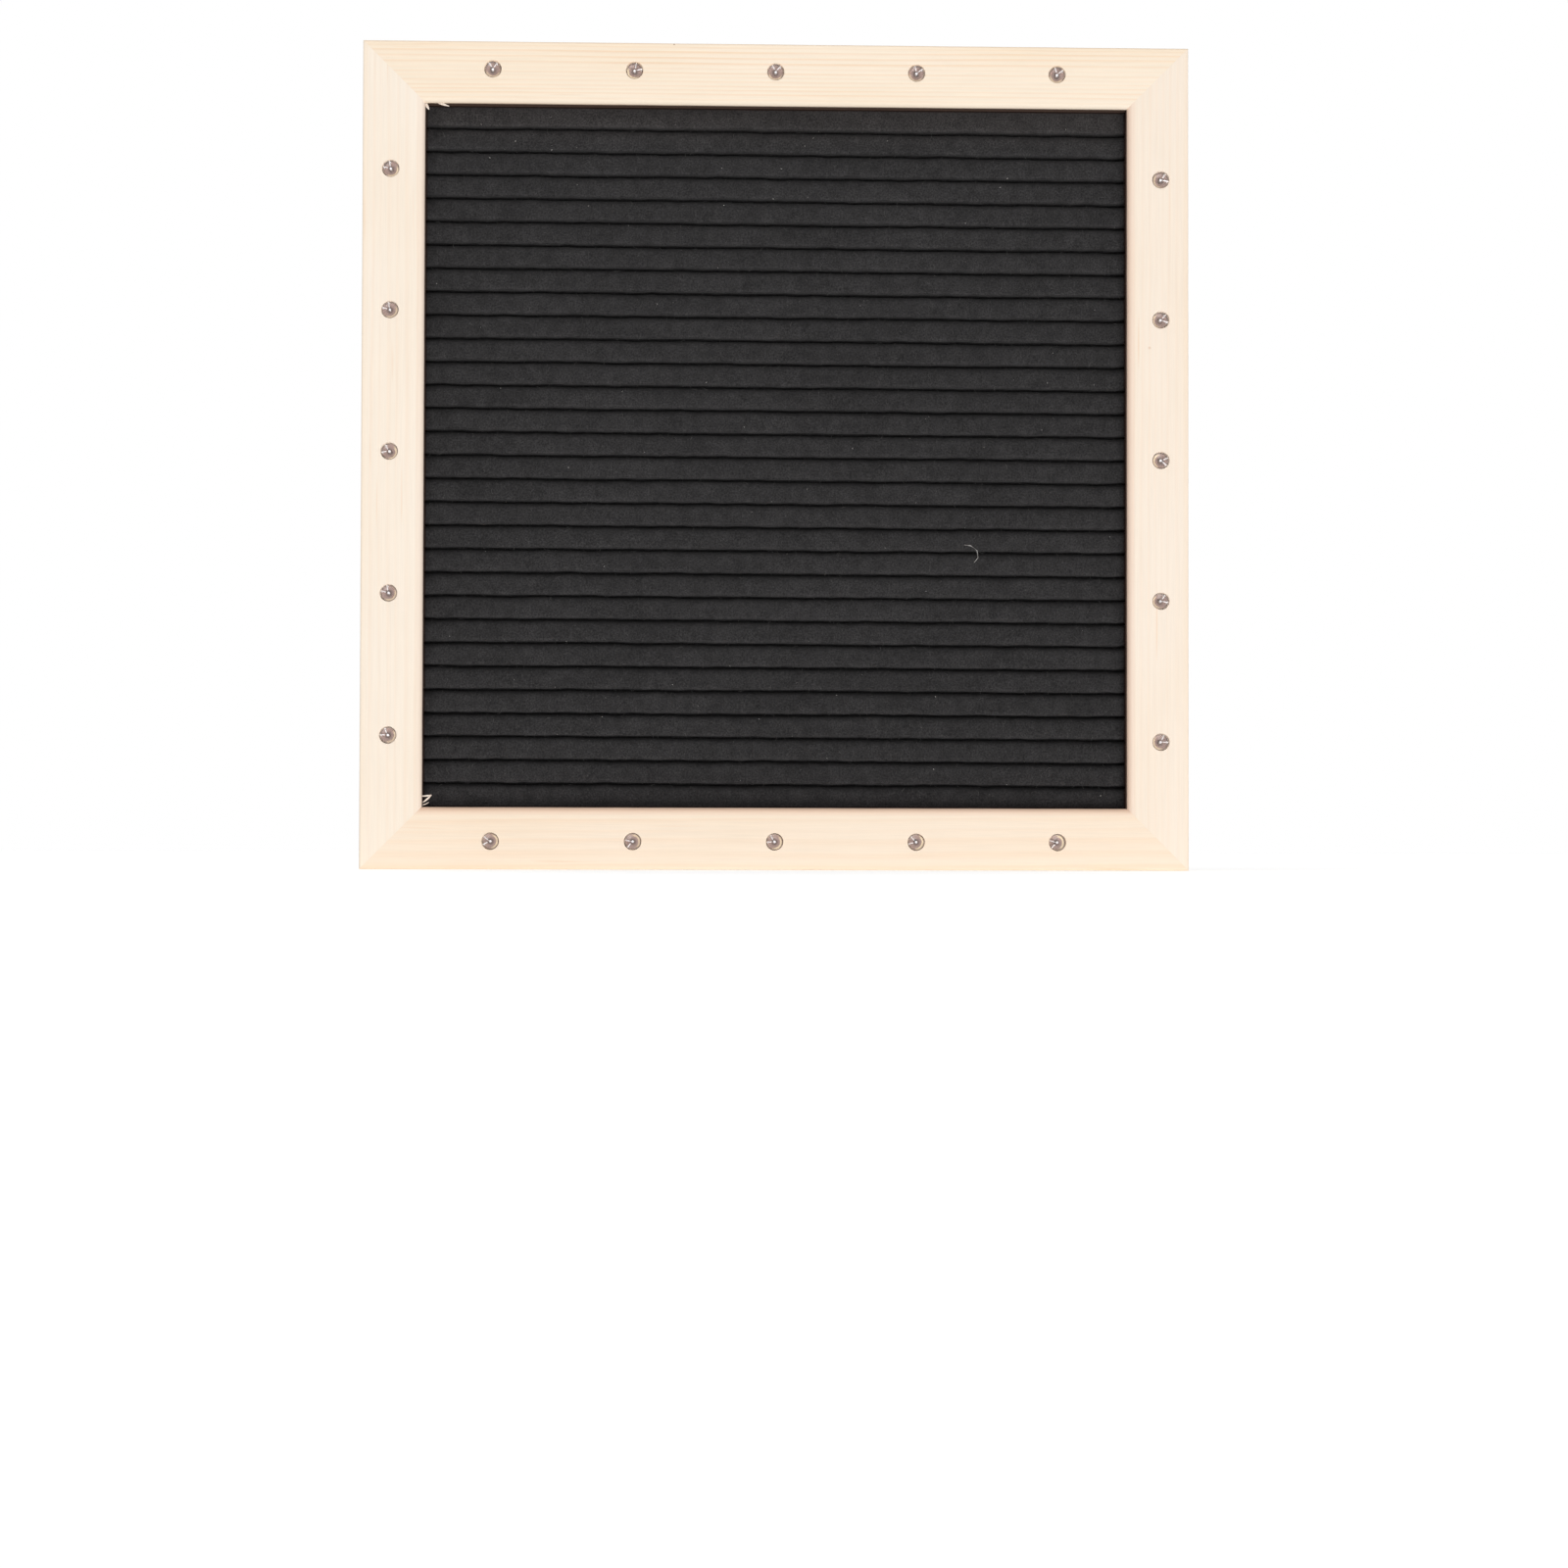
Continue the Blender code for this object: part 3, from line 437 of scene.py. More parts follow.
def makePine(side):
    look, grain = pineLooks[side], pineGrain
    material, tree, shader, place = newMaterial("pine_" + side, Specular_IOR_Level=0.35)
    # Along the grain is X here, across it Z, and Y runs into the wood.
    turn = (0, math.pi / 2, 0) if side in ("left", "right") else (0, 0, 0)
    wood = mapped(tree, place, turn=turn, shift=look["shift"])
    bend = centred(tree, noiseOf(tree, wood, grain["bends"]))
    parts = axes(tree, wood)
    across = maths(tree, "MULTIPLY_ADD", parts["Y"], look["tilt"], parts["Z"])
    across = maths(tree, "MULTIPLY_ADD", bend, look["wander"] * 2 * mm, across)
    uneven = noiseOf(tree, wood, grain["uneven"], detail=1)
    ring = maths(tree, "DIVIDE", across, look["spacing"] * mm)
    ring = maths(tree, "MULTIPLY_ADD", uneven, grain["unevenBy"], ring)
    phase = maths(tree, "FRACT", ring)
    lateWood = ramp(tree, phase, (0, 0.0), (0.45, 0.18), (0.78, 1.0), (0.9, 0.75), (1, 0.0))
    which = maths(tree, "FLOOR", ring)
    bold = add(tree, "ShaderNodeTexWhiteNoise", {"W": which}, noise_dimensions="1D").outputs["Value"]
    bold = maths(tree, "MULTIPLY_ADD", bold, grain["boldBy"], grain["boldLeast"])
    fading = ramp(tree, noiseOf(tree, wood, grain["fading"]), (0.3, 0.45), (0.62, 1.0))
    rings = maths(tree, "MULTIPLY", maths(tree, "MULTIPLY", lateWood, bold), fading)
    rings = maths(tree, "MULTIPLY", rings, look["rings"])
    colour = mixColour(tree, rings, linear(*look["early"]), linear(*look["late"]))
    # Long fine fibres, and broad warm and cool patches
    fibre = noiseOf(tree, wood, grain["fibres"], detail=3, roughness=0.65)
    colour = tinted(tree, colour, ramp(tree, fibre, (0.3, 0.955), (0.65, 1.0)))
    patch = noiseOf(tree, wood, grain["patches"])
    colour = tinted(tree, colour, ramp(tree, patch, (0.3, (0.985, 0.965, 0.935)), (0.65, (1, 1, 1))))
    # A few thin resin streaks
    streak = noiseOf(tree, wood, grain["streaks"], detail=1, shift=(3, 0, 0))
    streak = ramp(tree, streak, (0.70, 0.0), (0.80, 0.5))
    colour = mixColour(tree, streak, colour, linear(*grain["streakColour"]))
    # Warmer along the outer arris, and a pinkish painted shade along the inner one, set per rail, strongest on
    # the bottom and right rails
    spot = axes(tree, mapped(tree, place, shift=(0, -frontY, -middleZ)))
    inset = maths(tree, "SUBTRACT", boardSide / 2, fromBoardMiddle(tree, spot))
    inset = maths(tree, "DIVIDE", inset, rail["face"] * mm)
    arris = ramp(tree, inset, (0.0, (1, 0.975, 0.94)), (0.07, (1, 0.985, 0.965)), (0.14, (1, 1, 1)))
    colour = tinted(tree, colour, arris)
    innerArrisShade = maths(tree, "MULTIPLY", ramp(tree, inset, (0.86, 0.0), (0.96, 1.0)), look["innerArrisShade"])
    colour = mixColour(tree, innerArrisShade, colour, grain["innerArrisShadeColour"], "MULTIPLY")
    # Painted shadow: the lip's inner side is painted dark brown, for the shade it stands in
    depth = maths(tree, "DIVIDE", spot["Y"], rail["lipDepth"] * mm)
    lipShadowed = maths(tree, "MULTIPLY", ramp(tree, depth, (0.22, 0.0), (0.36, 1.0)),
                     maths(tree, "GREATER_THAN", inset, grain["lipShadowInset"]))
    lipShadowed = maths(tree, "MULTIPLY", lipShadowed, maths(tree, "LESS_THAN", depth, grain["lipShadowDepth"]))
    lipShadowed = maths(tree, "MULTIPLY", lipShadowed, grain["lipShadow"])
    colour = mixColour(tree, lipShadowed, colour, grain["lipShadowColour"])
    # Small dark specks that the photograph shows on this rail
    for x, y, radius, tone in woodSpots.get(side, ()):
        there = {0: place, 1: pixelPlace(x, y, 0)}
        away = add(tree, "ShaderNodeVectorMath", there, operation="DISTANCE").outputs["Value"]
        speck = ramp(tree, maths(tree, "DIVIDE", away, radius * mm), (0.5, 0.8), (1.0, 0.0))
        colour = mixColour(tree, speck, colour, linear(*tone))
    dress(tree, shader, Base_Color=colour, Roughness=ramp(tree, fibre, (0.3, 0.5), (0.7, 0.62)))
    bumpFrom(tree, shader, maths(tree, "MULTIPLY_ADD", rings, -0.6, fibre), 0.05, 0.35)
    return material


def arcCorner(corners, index, steps):
    # The points that round one corner of an outline, or the corner itself.
    here = Vector(corners[index][:2])
    if len(corners[index]) < 3:
        return [here]
    radius = corners[index][2]
    before = (Vector(corners[index - 1][:2]) - here).normalized()
    after = (Vector(corners[(index + 1) % len(corners)][:2]) - here).normalized()
    points = []
    for step in range(steps + 1):      # the square corners here make plain quarter rounds
        angle = math.pi / 2 * step / steps
        points.append(here + before * radius * (1 - math.sin(angle)) + after * radius * (1 - math.cos(angle)))
    return points


def railSection():
    # Points are (inset from the outer edge, depth from the front), in mm.
    r = rail
    lipBack = r["face"] - r["lipWidth"]
    corners = [
        (0, 0, r["outerRound"]), (r["face"], 0, r["innerRound"]), (r["face"], r["lipDepth"]),
        (lipBack, r["lipDepth"]), (lipBack, r["channelFloor"]), (r["channelWall"], r["channelFloor"]),
        (r["channelWall"], r["ledge"]), (r["backLip"], r["ledge"]), (r["backLip"], r["depth"]),
        (0, r["depth"], r["outerRound"]),
    ]
    points = []
    for index in range(len(corners)):
        points += arcCorner(corners, index, r["roundSteps"])
    # Long faces get points of their own, so that their sway is smooth
    dense = []
    for here, after in zip(points, points[1:] + points[:1]):
        count = max(1, int((after - here).length / r["station"]))
        dense += [here.lerp(after, step / count) for step in range(count)]
    return dense


def railMatrix(side):
    half = boardSide / 2
    place, turn = {
        "bottom": ((0, 0, 0), 0), "right": ((half, 0, middleZ), -90),
        "top": ((0, 0, boardTop), 180), "left": ((-half, 0, middleZ), 90),
    }[side]
    return Matrix.Translation(place) @ Matrix.Rotation(math.radians(turn), 4, "Y")


def boreCutters(side):
    # A stepped cutter at each of the rail's lights, for its hole and its flange's seat.
    bore, seat, past = rail["boreRadius"], rail["seatRadius"], rail["cutPast"]
    rim, end = bore + rail["boreChamfer"], rail["channelFloor"] + past
    profile = [(0, -past), (rim + past, -past), (rim, 0), (bore, rail["boreChamfer"] * 1.5),
               (bore, rail["seatDepth"]), (seat, rail["seatDepth"]), (seat, end), (0, end)]
    cutters = []
    for i in range(1, 6):
        cutter = turnedMesh("bore", profile, rail["boreSides"])
        cutter.transform(Matrix.Translation(ledPlace(f"led_{side}_{i}")))
        cutters.append(cutter)
    return newPiece("bores", joinedMesh("bores", cutters))


def makeRail(side, node):
    section = railSection()
    half = boardSide / 2 / mm
    stations = int(2 * half / rail["station"])
    shape = bmesh.new()
    rows = []
    for step in range(stations + 1):
        share = 2 * step / stations - 1
        row = []
        for inset, depth in section:
            reach = half - inset - rail["mitreGap"]     # both ends are mitred through the corners
            spot = (share * rail["swayAlong"], inset / rail["swayRound"],
                    depth / rail["swayRound"] + rail["swayApart"] * sides.index(side))
            sway = noise.noise(Vector(spot)) * rail["sway"] * (1 - share ** rail["swayFade"])
            toEdge = 1 if inset > rail["face"] / 2 else -1
            place = (share * reach, frontY / mm + depth, max(0, inset - toEdge * abs(sway)))
            row.append(shape.verts.new(Vector(place) * mm))
        rows.append(row)
    loft(shape, rows)
    bmesh.ops.transform(shape, matrix=railMatrix(side), verts=shape.verts)
    name = "wood_" + node
    piece = newPiece(name, meshFrom(shape, name), makePine(side))
    cutters = boreCutters(side)
    boolean = piece.modifiers.new("bores", "BOOLEAN")
    boolean.object = cutters
    boolean.operation = "DIFFERENCE"
    boolean.solver = "EXACT"
    settled(piece)
    bpy.data.objects.remove(cutters)
    piece.data.shade_smooth()
    piece.data.set_sharp_from_angle(angle=math.radians(rail["sharpAbove"]))
    piece.modifiers.new("evenFaces", "WEIGHTED_NORMAL").keep_sharp = True
    settled(piece)
    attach(piece, "board")
    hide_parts(node)


# Felt: one sheet folded into every slot, in mm

felt = {
    "side": 225.35, "turn": 0.2, "front": 4.8, "foldDepth": 3.0, "slots": 29, "pitch": 7.22, "gap": 0.72,
    "upperRound": 0.5, "lowerRound": 2.55, "foldRound": 0.42, "roundSteps": 8, "thickness": 0.8,
    "columns": 150, "rows": 560, "wave": 0.32, "ruffle": 0.46, "lift": 0.25,
    # Patches to a metre along X, Y and Z
    "waves": (26, 0, 60), "ruffles": (150, 60, 330), "swells": (60, 0, 150),
}


def feltTree(values):
    tree, given = newTree("foldedFelt", values)
    # The sheet's outline seen from the side: four corners at each slot and one at each end
    count = maths(tree, "MULTIPLY_ADD", given["Slots"], 4.0, 2.0)
    line = add(tree, "GeometryNodeMeshLine", {"Count": count, "Offset": (0, 0, -1)}, mode="OFFSET")
    index = maths(tree, "SUBTRACT", add(tree, "GeometryNodeInputIndex").outputs[0], 1.0)
    slotNumber = maths(tree, "FLOOR", maths(tree, "DIVIDE", index, 4.0))
    corner = maths(tree, "FLOORED_MODULO", index, 4.0)
    isDeep = maths(tree, "COMPARE", corner, 1.5, 0.6)
    isBelow = maths(tree, "GREATER_THAN", corner, 1.5)
    middleSlot = maths(tree, "DIVIDE", maths(tree, "SUBTRACT", given["Slots"], 1.0), 2.0)
    slotZ = maths(tree, "MULTIPLY", maths(tree, "SUBTRACT", middleSlot, slotNumber), given["Pitch"])
    halfGap = maths(tree, "DIVIDE", given["Gap"], 2.0)
    fromSlot = maths(tree, "MULTIPLY_ADD", isBelow, maths(tree, "MULTIPLY", given["Gap"], -1.0), halfGap)
    z = maths(tree, "ADD", slotZ, fromSlot)
    lastCorner = maths(tree, "SUBTRACT", maths(tree, "MULTIPLY", given["Slots"], 4.0), 0.5)
    isFirst = maths(tree, "LESS_THAN", index, -0.5)
    isLast = maths(tree, "GREATER_THAN", index, lastCorner)
    isInner = maths(tree, "SUBTRACT", 1.0, maths(tree, "MAXIMUM", isFirst, isLast))
    halfSide = maths(tree, "DIVIDE", given["Side"], 2.0)
    endZ = maths(tree, "MULTIPLY", halfSide, maths(tree, "SUBTRACT", isFirst, isLast))
    z = maths(tree, "ADD", maths(tree, "MULTIPLY", z, isInner), endZ)
    isDeep = maths(tree, "MULTIPLY", isDeep, isInner)
    place = point(tree, Y=maths(tree, "MULTIPLY", isDeep, given["Fold Depth"]), Z=z)
    bent = add(tree, "GeometryNodeSetPosition", {"Geometry": line.outputs[0], "Position": place})
    outline = add(tree, "GeometryNodeMeshToCurve", {"Mesh": bent.outputs[0]})
    lipSpread = maths(tree, "SUBTRACT", given["Lower Round"], given["Upper Round"])
    lipRound = maths(tree, "MULTIPLY_ADD", isBelow, lipSpread, given["Upper Round"])
    foldSpread = maths(tree, "SUBTRACT", given["Fold Round"], lipRound)
    radius = maths(tree, "MULTIPLY_ADD", isDeep, foldSpread, lipRound)
    soft = add(tree, "GeometryNodeFilletCurve", {
        "Curve": outline.outputs[0], "Count": given["Round Steps"], "Radius": radius}, mode="POLY")
    # A grid whose rows lie along that outline
    grid = add(tree, "GeometryNodeMeshGrid", {
        "Size X": given["Side"], "Size Y": 1.0, "Vertices X": given["Columns"], "Vertices Y": given["Rows"]})
    here = axes(tree, add(tree, "GeometryNodeInputPosition").outputs[0])
    share = maths(tree, "SUBTRACT", 0.5, here["Y"])
    along = add(tree, "GeometryNodeSampleCurve", {"Curves": soft.outputs[0], "Factor": share}, mode="FACTOR")
    section = axes(tree, along.outputs["Position"])
    # The slots wander a little, and each lip by itself
    spot = point(tree, X=here["X"], Y=section["Y"], Z=section["Z"])
    wave = centred(tree, noiseOf(tree, spot, felt["waves"]))
    ruffle = centred(tree, noiseOf(tree, spot, felt["ruffles"]))
    swell = centred(tree, noiseOf(tree, spot, felt["swells"], detail=1, shift=(7, 3, 1)))
    sway = maths(tree, "MULTIPLY_ADD", ruffle, given["Ruffle"], maths(tree, "MULTIPLY", wave, given["Wave"]))
    swayZ = maths(tree, "ADD", section["Z"], sway)
    swellY = maths(tree, "MULTIPLY_ADD", swell, given["Ruffle"], section["Y"])
    folded = add(tree, "GeometryNodeSetPosition", {
        "Geometry": grid.outputs[0], "Position": point(tree, X=here["X"], Y=swellY, Z=swayZ)})
    laid = add(tree, "GeometryNodeTransform", {
        "Geometry": folded.outputs[0], "Rotation": point(tree, Y=given["Turn"]),
        "Translation": point(tree, Y=given["Front"], Z=given["Middle"])})
    return endTree(tree, laid.outputs[0], given["Material"])


feltLooks = {
    "matted": 1900, "clumps": 330, "broad": 28,                  # patches to a metre
    "dark": (0.0175, 0.0167, 0.0172), "pale": (0.0520, 0.0498, 0.0505),
    # The edge colour and its spread below are a painted shadow where the sheet goes under the frame's lip
    "edgeShadowColour": (0.016, 0.0065, 0.004), "edgeUneven": 0.25,
    "edgeStart": 0.9, "edgeWidth": 1.3,                          # in mm from the opening's side
}


def makeFeltMaterial():
    look = feltLooks
    material, tree, shader, place = newMaterial(
        "feltBlack", Roughness=0.95, Specular_IOR_Level=0.12, Sheen_Weight=0.10, Sheen_Roughness=0.45,
        Sheen_Tint=(0.62, 0.60, 0.60))
    matted = noiseOf(tree, place, look["matted"], detail=3, roughness=0.7)
    clump = noiseOf(tree, place, look["clumps"])
    broad = noiseOf(tree, place, look["broad"], detail=1)
    colour = mixColour(tree, ramp(tree, matted, (0.33, 0.0), (0.68, 1.0)), look["dark"], look["pale"])
    colour = tinted(tree, colour, ramp(tree, clump, (0.3, 0.80), (0.7, 1.14)))
    colour = tinted(tree, colour, ramp(tree, broad, (0.3, 0.94), (0.7, 1.05)))
    # Painted shade: the felt is darker the deeper it lies in a slot
    spot = axes(tree, mapped(tree, place, shift=(0, -frontY - felt["front"] * mm, -middleZ)))
    sunk = maths(tree, "DIVIDE", spot["Y"], felt["foldDepth"] * mm)
    colour = tinted(tree, colour, ramp(tree, sunk, (0.0, 1.0), (0.08, 0.93), (0.22, 0.80), (0.6, 0.55)))
    # Painted light and shade: each rib is darker on its upper part and lighter at its lower lip, as if lit from
    # below
    level = mapped(tree, place, shift=(0, 0, -middleZ - felt["lift"] * mm))
    level = axes(tree, mapped(tree, level, turn=(0, math.radians(-felt["turn"]), 0)))["Z"]
    rib = maths(tree, "FRACT", maths(tree, "DIVIDE", level, -felt["pitch"] * mm))
    ribLitFromBelow = ramp(tree, rib, (0.0, 0.88), (0.35, 0.87), (0.65, 0.89), (0.82, 0.93), (0.94, 1.16), (1.0, 1.0))
    colour = tinted(tree, colour, ribLitFromBelow)
    # Painted light and shade: lighter and warmer along the top, for light bounced off the top rail, and darker
    # along the bottom, in the bottom rail's shadow
    height = maths(tree, "MULTIPLY_ADD", spot["Z"], 0.5 / openingHalf, 0.5)
    topLitBottomShaded = ramp(tree, height, (0.0, (0.86, 0.83, 0.83)), (0.06, (1, 1, 1)), (0.94, (1, 1, 1)),
                 (0.985, (1.34, 1.28, 1.24)))
    colour = tinted(tree, colour, topLitBottomShaded)
    # Painted shadow: brown where the sheet goes in under the frame's lip
    edge = maths(tree, "SUBTRACT", fromBoardMiddle(tree, spot), openingHalf - look["edgeStart"] * mm)
    edge = maths(tree, "DIVIDE", edge, look["edgeWidth"] * mm)
    edge = maths(tree, "MULTIPLY_ADD", centred(tree, clump), look["edgeUneven"], edge)
    colour = mixColour(tree, ramp(tree, edge, (0.25, 0.0), (0.62, 0.95)), colour, look["edgeShadowColour"])
    dress(tree, shader, Base_Color=colour)
    bumpFrom(tree, shader, maths(tree, "ADD", matted, clump), 0.18, 0.6)
    return material


def makeFelt():
    values = {
        "Material": makeFeltMaterial(), "Side": felt["side"] * mm, "Front": frontY + felt["front"] * mm,
        "Fold Depth": felt["foldDepth"] * mm, "Slots": felt["slots"], "Pitch": felt["pitch"] * mm,
        "Gap": felt["gap"] * mm, "Upper Round": felt["upperRound"] * mm,
        "Lower Round": felt["lowerRound"] * mm, "Fold Round": felt["foldRound"] * mm,
        "Round Steps": felt["roundSteps"], "Columns": felt["columns"], "Rows": felt["rows"],
        "Wave": felt["wave"] * 2 * mm, "Ruffle": felt["ruffle"] * 2 * mm,
        "Turn": math.radians(felt["turn"]), "Middle": middleZ + felt["lift"] * mm,
    }
    sheet = newPiece("felt_sheet", bpy.data.meshes.new("felt_sheet"))
    runTree(sheet, feltTree(values), values)
    settled(sheet)
    middle = sheet.data.polygons[len(sheet.data.polygons) // 2]
    print("felt faces the front:", middle.normal.y < 0, len(sheet.data.polygons), "faces")
    if middle.normal.y > 0:
        sheet.data.flip_normals()
    solid = sheet.modifiers.new("thickness", "SOLIDIFY")
    solid.thickness = felt["thickness"] * mm
    solid.offset = -1
    settled(sheet)
    sheet.data.shade_smooth()
    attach(sheet, "board")
    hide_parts("felt_face")
    return sheet


# Fuzz, lint and slivers, in mm

fuzz = {
    "length": 1.5, "radius": 0.022, "curl": 0.5, "bend": 2.4, "steps": 4,
    "lintSize": 0.32, "lintRadius": 0.055, "lintSteps": 9, "lintTurn": 1.25,
    "lipStart": 0.12, "lipEnd": 0.9,         # a slot's lip catches more, and nothing lies deeper
    "speckTurn": 1.1, "speckOut": 0.1, "hairOut": 0.12, "hairRadius": 0.075, "hairSides": 5,
}

scattered = {
    # How many to a square metre, how many more on the lips, their sizes, and their distance from the frame
    "felt_fuzz": {"density": 90000.0, "lips": 1.6, "smallest": 0.5, "largest": 1.3, "seed": 3, "inset": 0.4},
    "felt_lint": {"density": 2100.0, "lips": 0.3, "smallest": 0.35, "largest": 1.0, "seed": 11, "inset": 2.0},
}

# Where the photograph shows specks, a hair and slivers, in its own pixels
seenSpecks = ((830, 141), (789, 203), (580, 477), (1028, 182), (500, 161),
              (526, 144), (563, 153), (491, 127), (1123, 812))
seenHair = ((984, 556), (991, 557), (997, 562), (998, 569), (994, 574))
seenSlivers = (
    # points along it, its widths in px from root to tip, how far it stands out in mm
    (((433.6, 103.2), (434.6, 106), (436.2, 109), (437.8, 111.8)), (1.6, 3.0, 2.6, 0.8), 0.5),
    (((443.5, 103.4), (447, 104.4), (450.5, 105.8), (454.3, 107.2), (458.4, 108.4)),
     (1.2, 2.4, 2.6, 1.8, 0.5), 0.6),
    (((429.8, 812.4), (433, 812.3), (436.5, 812.0), (440.4, 811.2)), (1.6, 1.3, 1.5, 0.6), 0.5),
    (((440.2, 811.4), (437.5, 814.0), (434.5, 816.6), (431.6, 818.8)), (0.6, 1.7, 1.6, 0.9), 0.7),
    (((431.5, 821.4), (434.5, 820.4), (437.6, 818.6)), (1.0, 0.9, 0.4), 0.3),
)
sliver = {"depth": 2.0, "thickness": 0.2}


def heading(points, i):
    # Which way a line of points runs at one of them.
    return (points[min(i + 1, len(points) - 1)] - points[max(i - 1, 0)]).normalized()


def threadMesh(name, points, radius, sidesCount=3):
    # A thin tube of a few faces through points, closed at both ends.
    shape = bmesh.new()
    rows = []
    for i, middle in enumerate(points):
        along = heading(points, i)
        first = along.orthogonal().normalized()
        second = along.cross(first)
        rows.append([shape.verts.new(middle + (first * math.cos(a) + second * math.sin(a)) * radius)
                     for a in roundAngles(sidesCount)])
    loft(shape, rows)
    return meshFrom(shape, name)


def fibreMesh():
    length, curl = fuzz["length"], fuzz["curl"]
    points = []
    for step in range(fuzz["steps"] + 1):
        share = step / fuzz["steps"]
        bent = (length * (share - 0.5), curl * math.sin(fuzz["bend"] * share), curl * share * share)
        points.append(Vector(bent) * mm)
    return threadMesh("fibre", points, fuzz["radius"] * mm)


def lintMesh():
    # A speck: a short fibre wound over itself.
    size, points = fuzz["lintSize"], []
    for step in range(fuzz["lintSteps"]):
        angle = step * fuzz["lintTurn"]
        radius = size * (0.25 + 0.35 * math.sin(step * 2.1) ** 2)
        wound = (radius * math.cos(angle), size * 0.3 * math.sin(step), radius * math.sin(angle * 1.3))
        points.append(Vector(wound) * mm)
    return threadMesh("lint", points, fuzz["lintRadius"] * mm)


def scatterTree(values):
    # Copies of a small shape over the felt's front, turned and sized at random.
    tree, given = newTree("scatteredOnFelt", values)
    cloth = add(tree, "GeometryNodeObjectInfo", {"Object": given["Felt"]})
    here = axes(tree, add(tree, "GeometryNodeInputPosition").outputs[0])
    z = maths(tree, "ABSOLUTE", maths(tree, "SUBTRACT", here["Z"], given["Middle"]))
    away = maths(tree, "MAXIMUM", maths(tree, "ABSOLUTE", here["X"]), z)
    inside = maths(tree, "LESS_THAN", away, given["Reach"])
    depth = maths(tree, "SUBTRACT", here["Y"], given["Front"])
    shallow = maths(tree, "LESS_THAN", depth, fuzz["lipEnd"] * mm)
    lip = maths(tree, "GREATER_THAN", depth, fuzz["lipStart"] * mm)
    lip = maths(tree, "MULTIPLY", lip, given["Lip Share"])
    weight = maths(tree, "MULTIPLY", maths(tree, "MULTIPLY", inside, shallow), maths(tree, "ADD", lip, 1.0))
    spread = add(tree, "GeometryNodeDistributePointsOnFaces", {
        "Mesh": cloth.outputs["Geometry"], "Density": maths(tree, "MULTIPLY", weight, given["Density"]),
        "Seed": given["Seed"]})
    turn = randomOf(tree, "FLOAT_VECTOR", (0, 0, 0), (6.28, 6.28, 6.28), given["Seed"])
    size = randomOf(tree, "FLOAT", given["Smallest"], given["Largest"], given["Seed"])
    copies = copiesOf(tree, given["Shape"], spread.outputs["Points"], turn, size)
    return endTree(tree, copies, given["Material"])


def makeFibreMaterial(name, dark, pale):
    material, tree, shader, place = newMaterial(
        name, Roughness=0.85, Sheen_Weight=0.2, Specular_IOR_Level=0.2)
    tone = noiseOf(tree, place, 700, detail=1)
    dress(tree, shader, Base_Color=mixColour(tree, ramp(tree, tone, (0.35, 0.0), (0.68, 1.0)), dark, pale))
    return material


def makeFuzz(sheet):
    napBlack = makeFibreMaterial("looseNap", (0.025, 0.024, 0.024), (0.13, 0.125, 0.12))
    lintWhite = makeFibreMaterial("lint", (0.30, 0.28, 0.26), (0.72, 0.70, 0.67))
    shapes = {"felt_fuzz": (fibreMesh(), napBlack), "felt_lint": (lintMesh(), lintWhite)}
    for name, (mesh, material) in shapes.items():
        spread = scattered[name]
        pattern = newPiece(name + "_shape", mesh)
        piece = newPiece(name, bpy.data.meshes.new(name))
        values = {
            "Felt": sheet, "Shape": pattern, "Material": material, "Density": spread["density"],
            "Lip Share": spread["lips"], "Smallest": spread["smallest"], "Largest": spread["largest"],
            "Seed": spread["seed"], "Front": frontY + felt["front"] * mm, "Middle": middleZ,
            "Reach": openingHalf - spread["inset"] * mm,
        }
        runTree(piece, scatterTree(values), values)
        settled(piece)
        bpy.data.objects.remove(pattern)
        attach(piece, "board")
        print(name, len(piece.data.polygons), "faces")
    specks = []
    for i, (x, y) in enumerate(seenSpecks):
        place = Matrix.Translation(pixelPlace(x, y, felt["front"] - fuzz["speckOut"]))
        mesh = lintMesh()
        mesh.transform(place @ Matrix.Rotation(i * fuzz["speckTurn"], 4, "Y"))
        specks.append(mesh)
    hair = [pixelPlace(x, y, felt["front"] - fuzz["hairOut"]) for x, y in seenHair]
    specks.append(threadMesh("hair", hair, fuzz["hairRadius"] * mm, fuzz["hairSides"]))
    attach(newPiece("felt_specks", joinedMesh("felt_specks", specks), lintWhite), "board")


def sliverMesh(points, widths, standOut):
    # A splinter of wood: a tapered strip that springs off the arris.
    shape = bmesh.new()
    rows = []
    pixel = boardSide / view["board"]
    flat = [pixelPlace(x, y, sliver["depth"]) for x, y in points]
    for i, (x, y) in enumerate(points):
        share = i / (len(points) - 1)
        middle = pixelPlace(x, y, sliver["depth"] - standOut * math.sin(math.pi * share))
        half = heading(flat, i).cross(Vector((0, 1, 0))) * widths[i] * pixel / 2
        thick = Vector((0, sliver["thickness"] / 2 * mm, 0))
        corners = (half - thick, half + thick, -half + thick, -half - thick)
        rows.append([shape.verts.new(middle + corner) for corner in corners])
    loft(shape, rows)
    return meshFrom(shape, "sliver")


def makeSlivers():
    material, tree, shader, place = newMaterial("splitWood", Roughness=0.6)
    fibre = noiseOf(tree, place, (400, 1500, 1500), detail=3)
    colour = ramp(tree, fibre, (0.3, linear(236, 214, 196)), (0.7, linear(252, 240, 228)))
    dress(tree, shader, Base_Color=colour)
    bumpFrom(tree, shader, fibre, 0.05, 0.5)
    slivers = joinedMesh("wood_slivers", [sliverMesh(*seen) for seen in seenSlivers])
    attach(newPiece("wood_slivers", slivers, material), "board")


# Lights, in mm

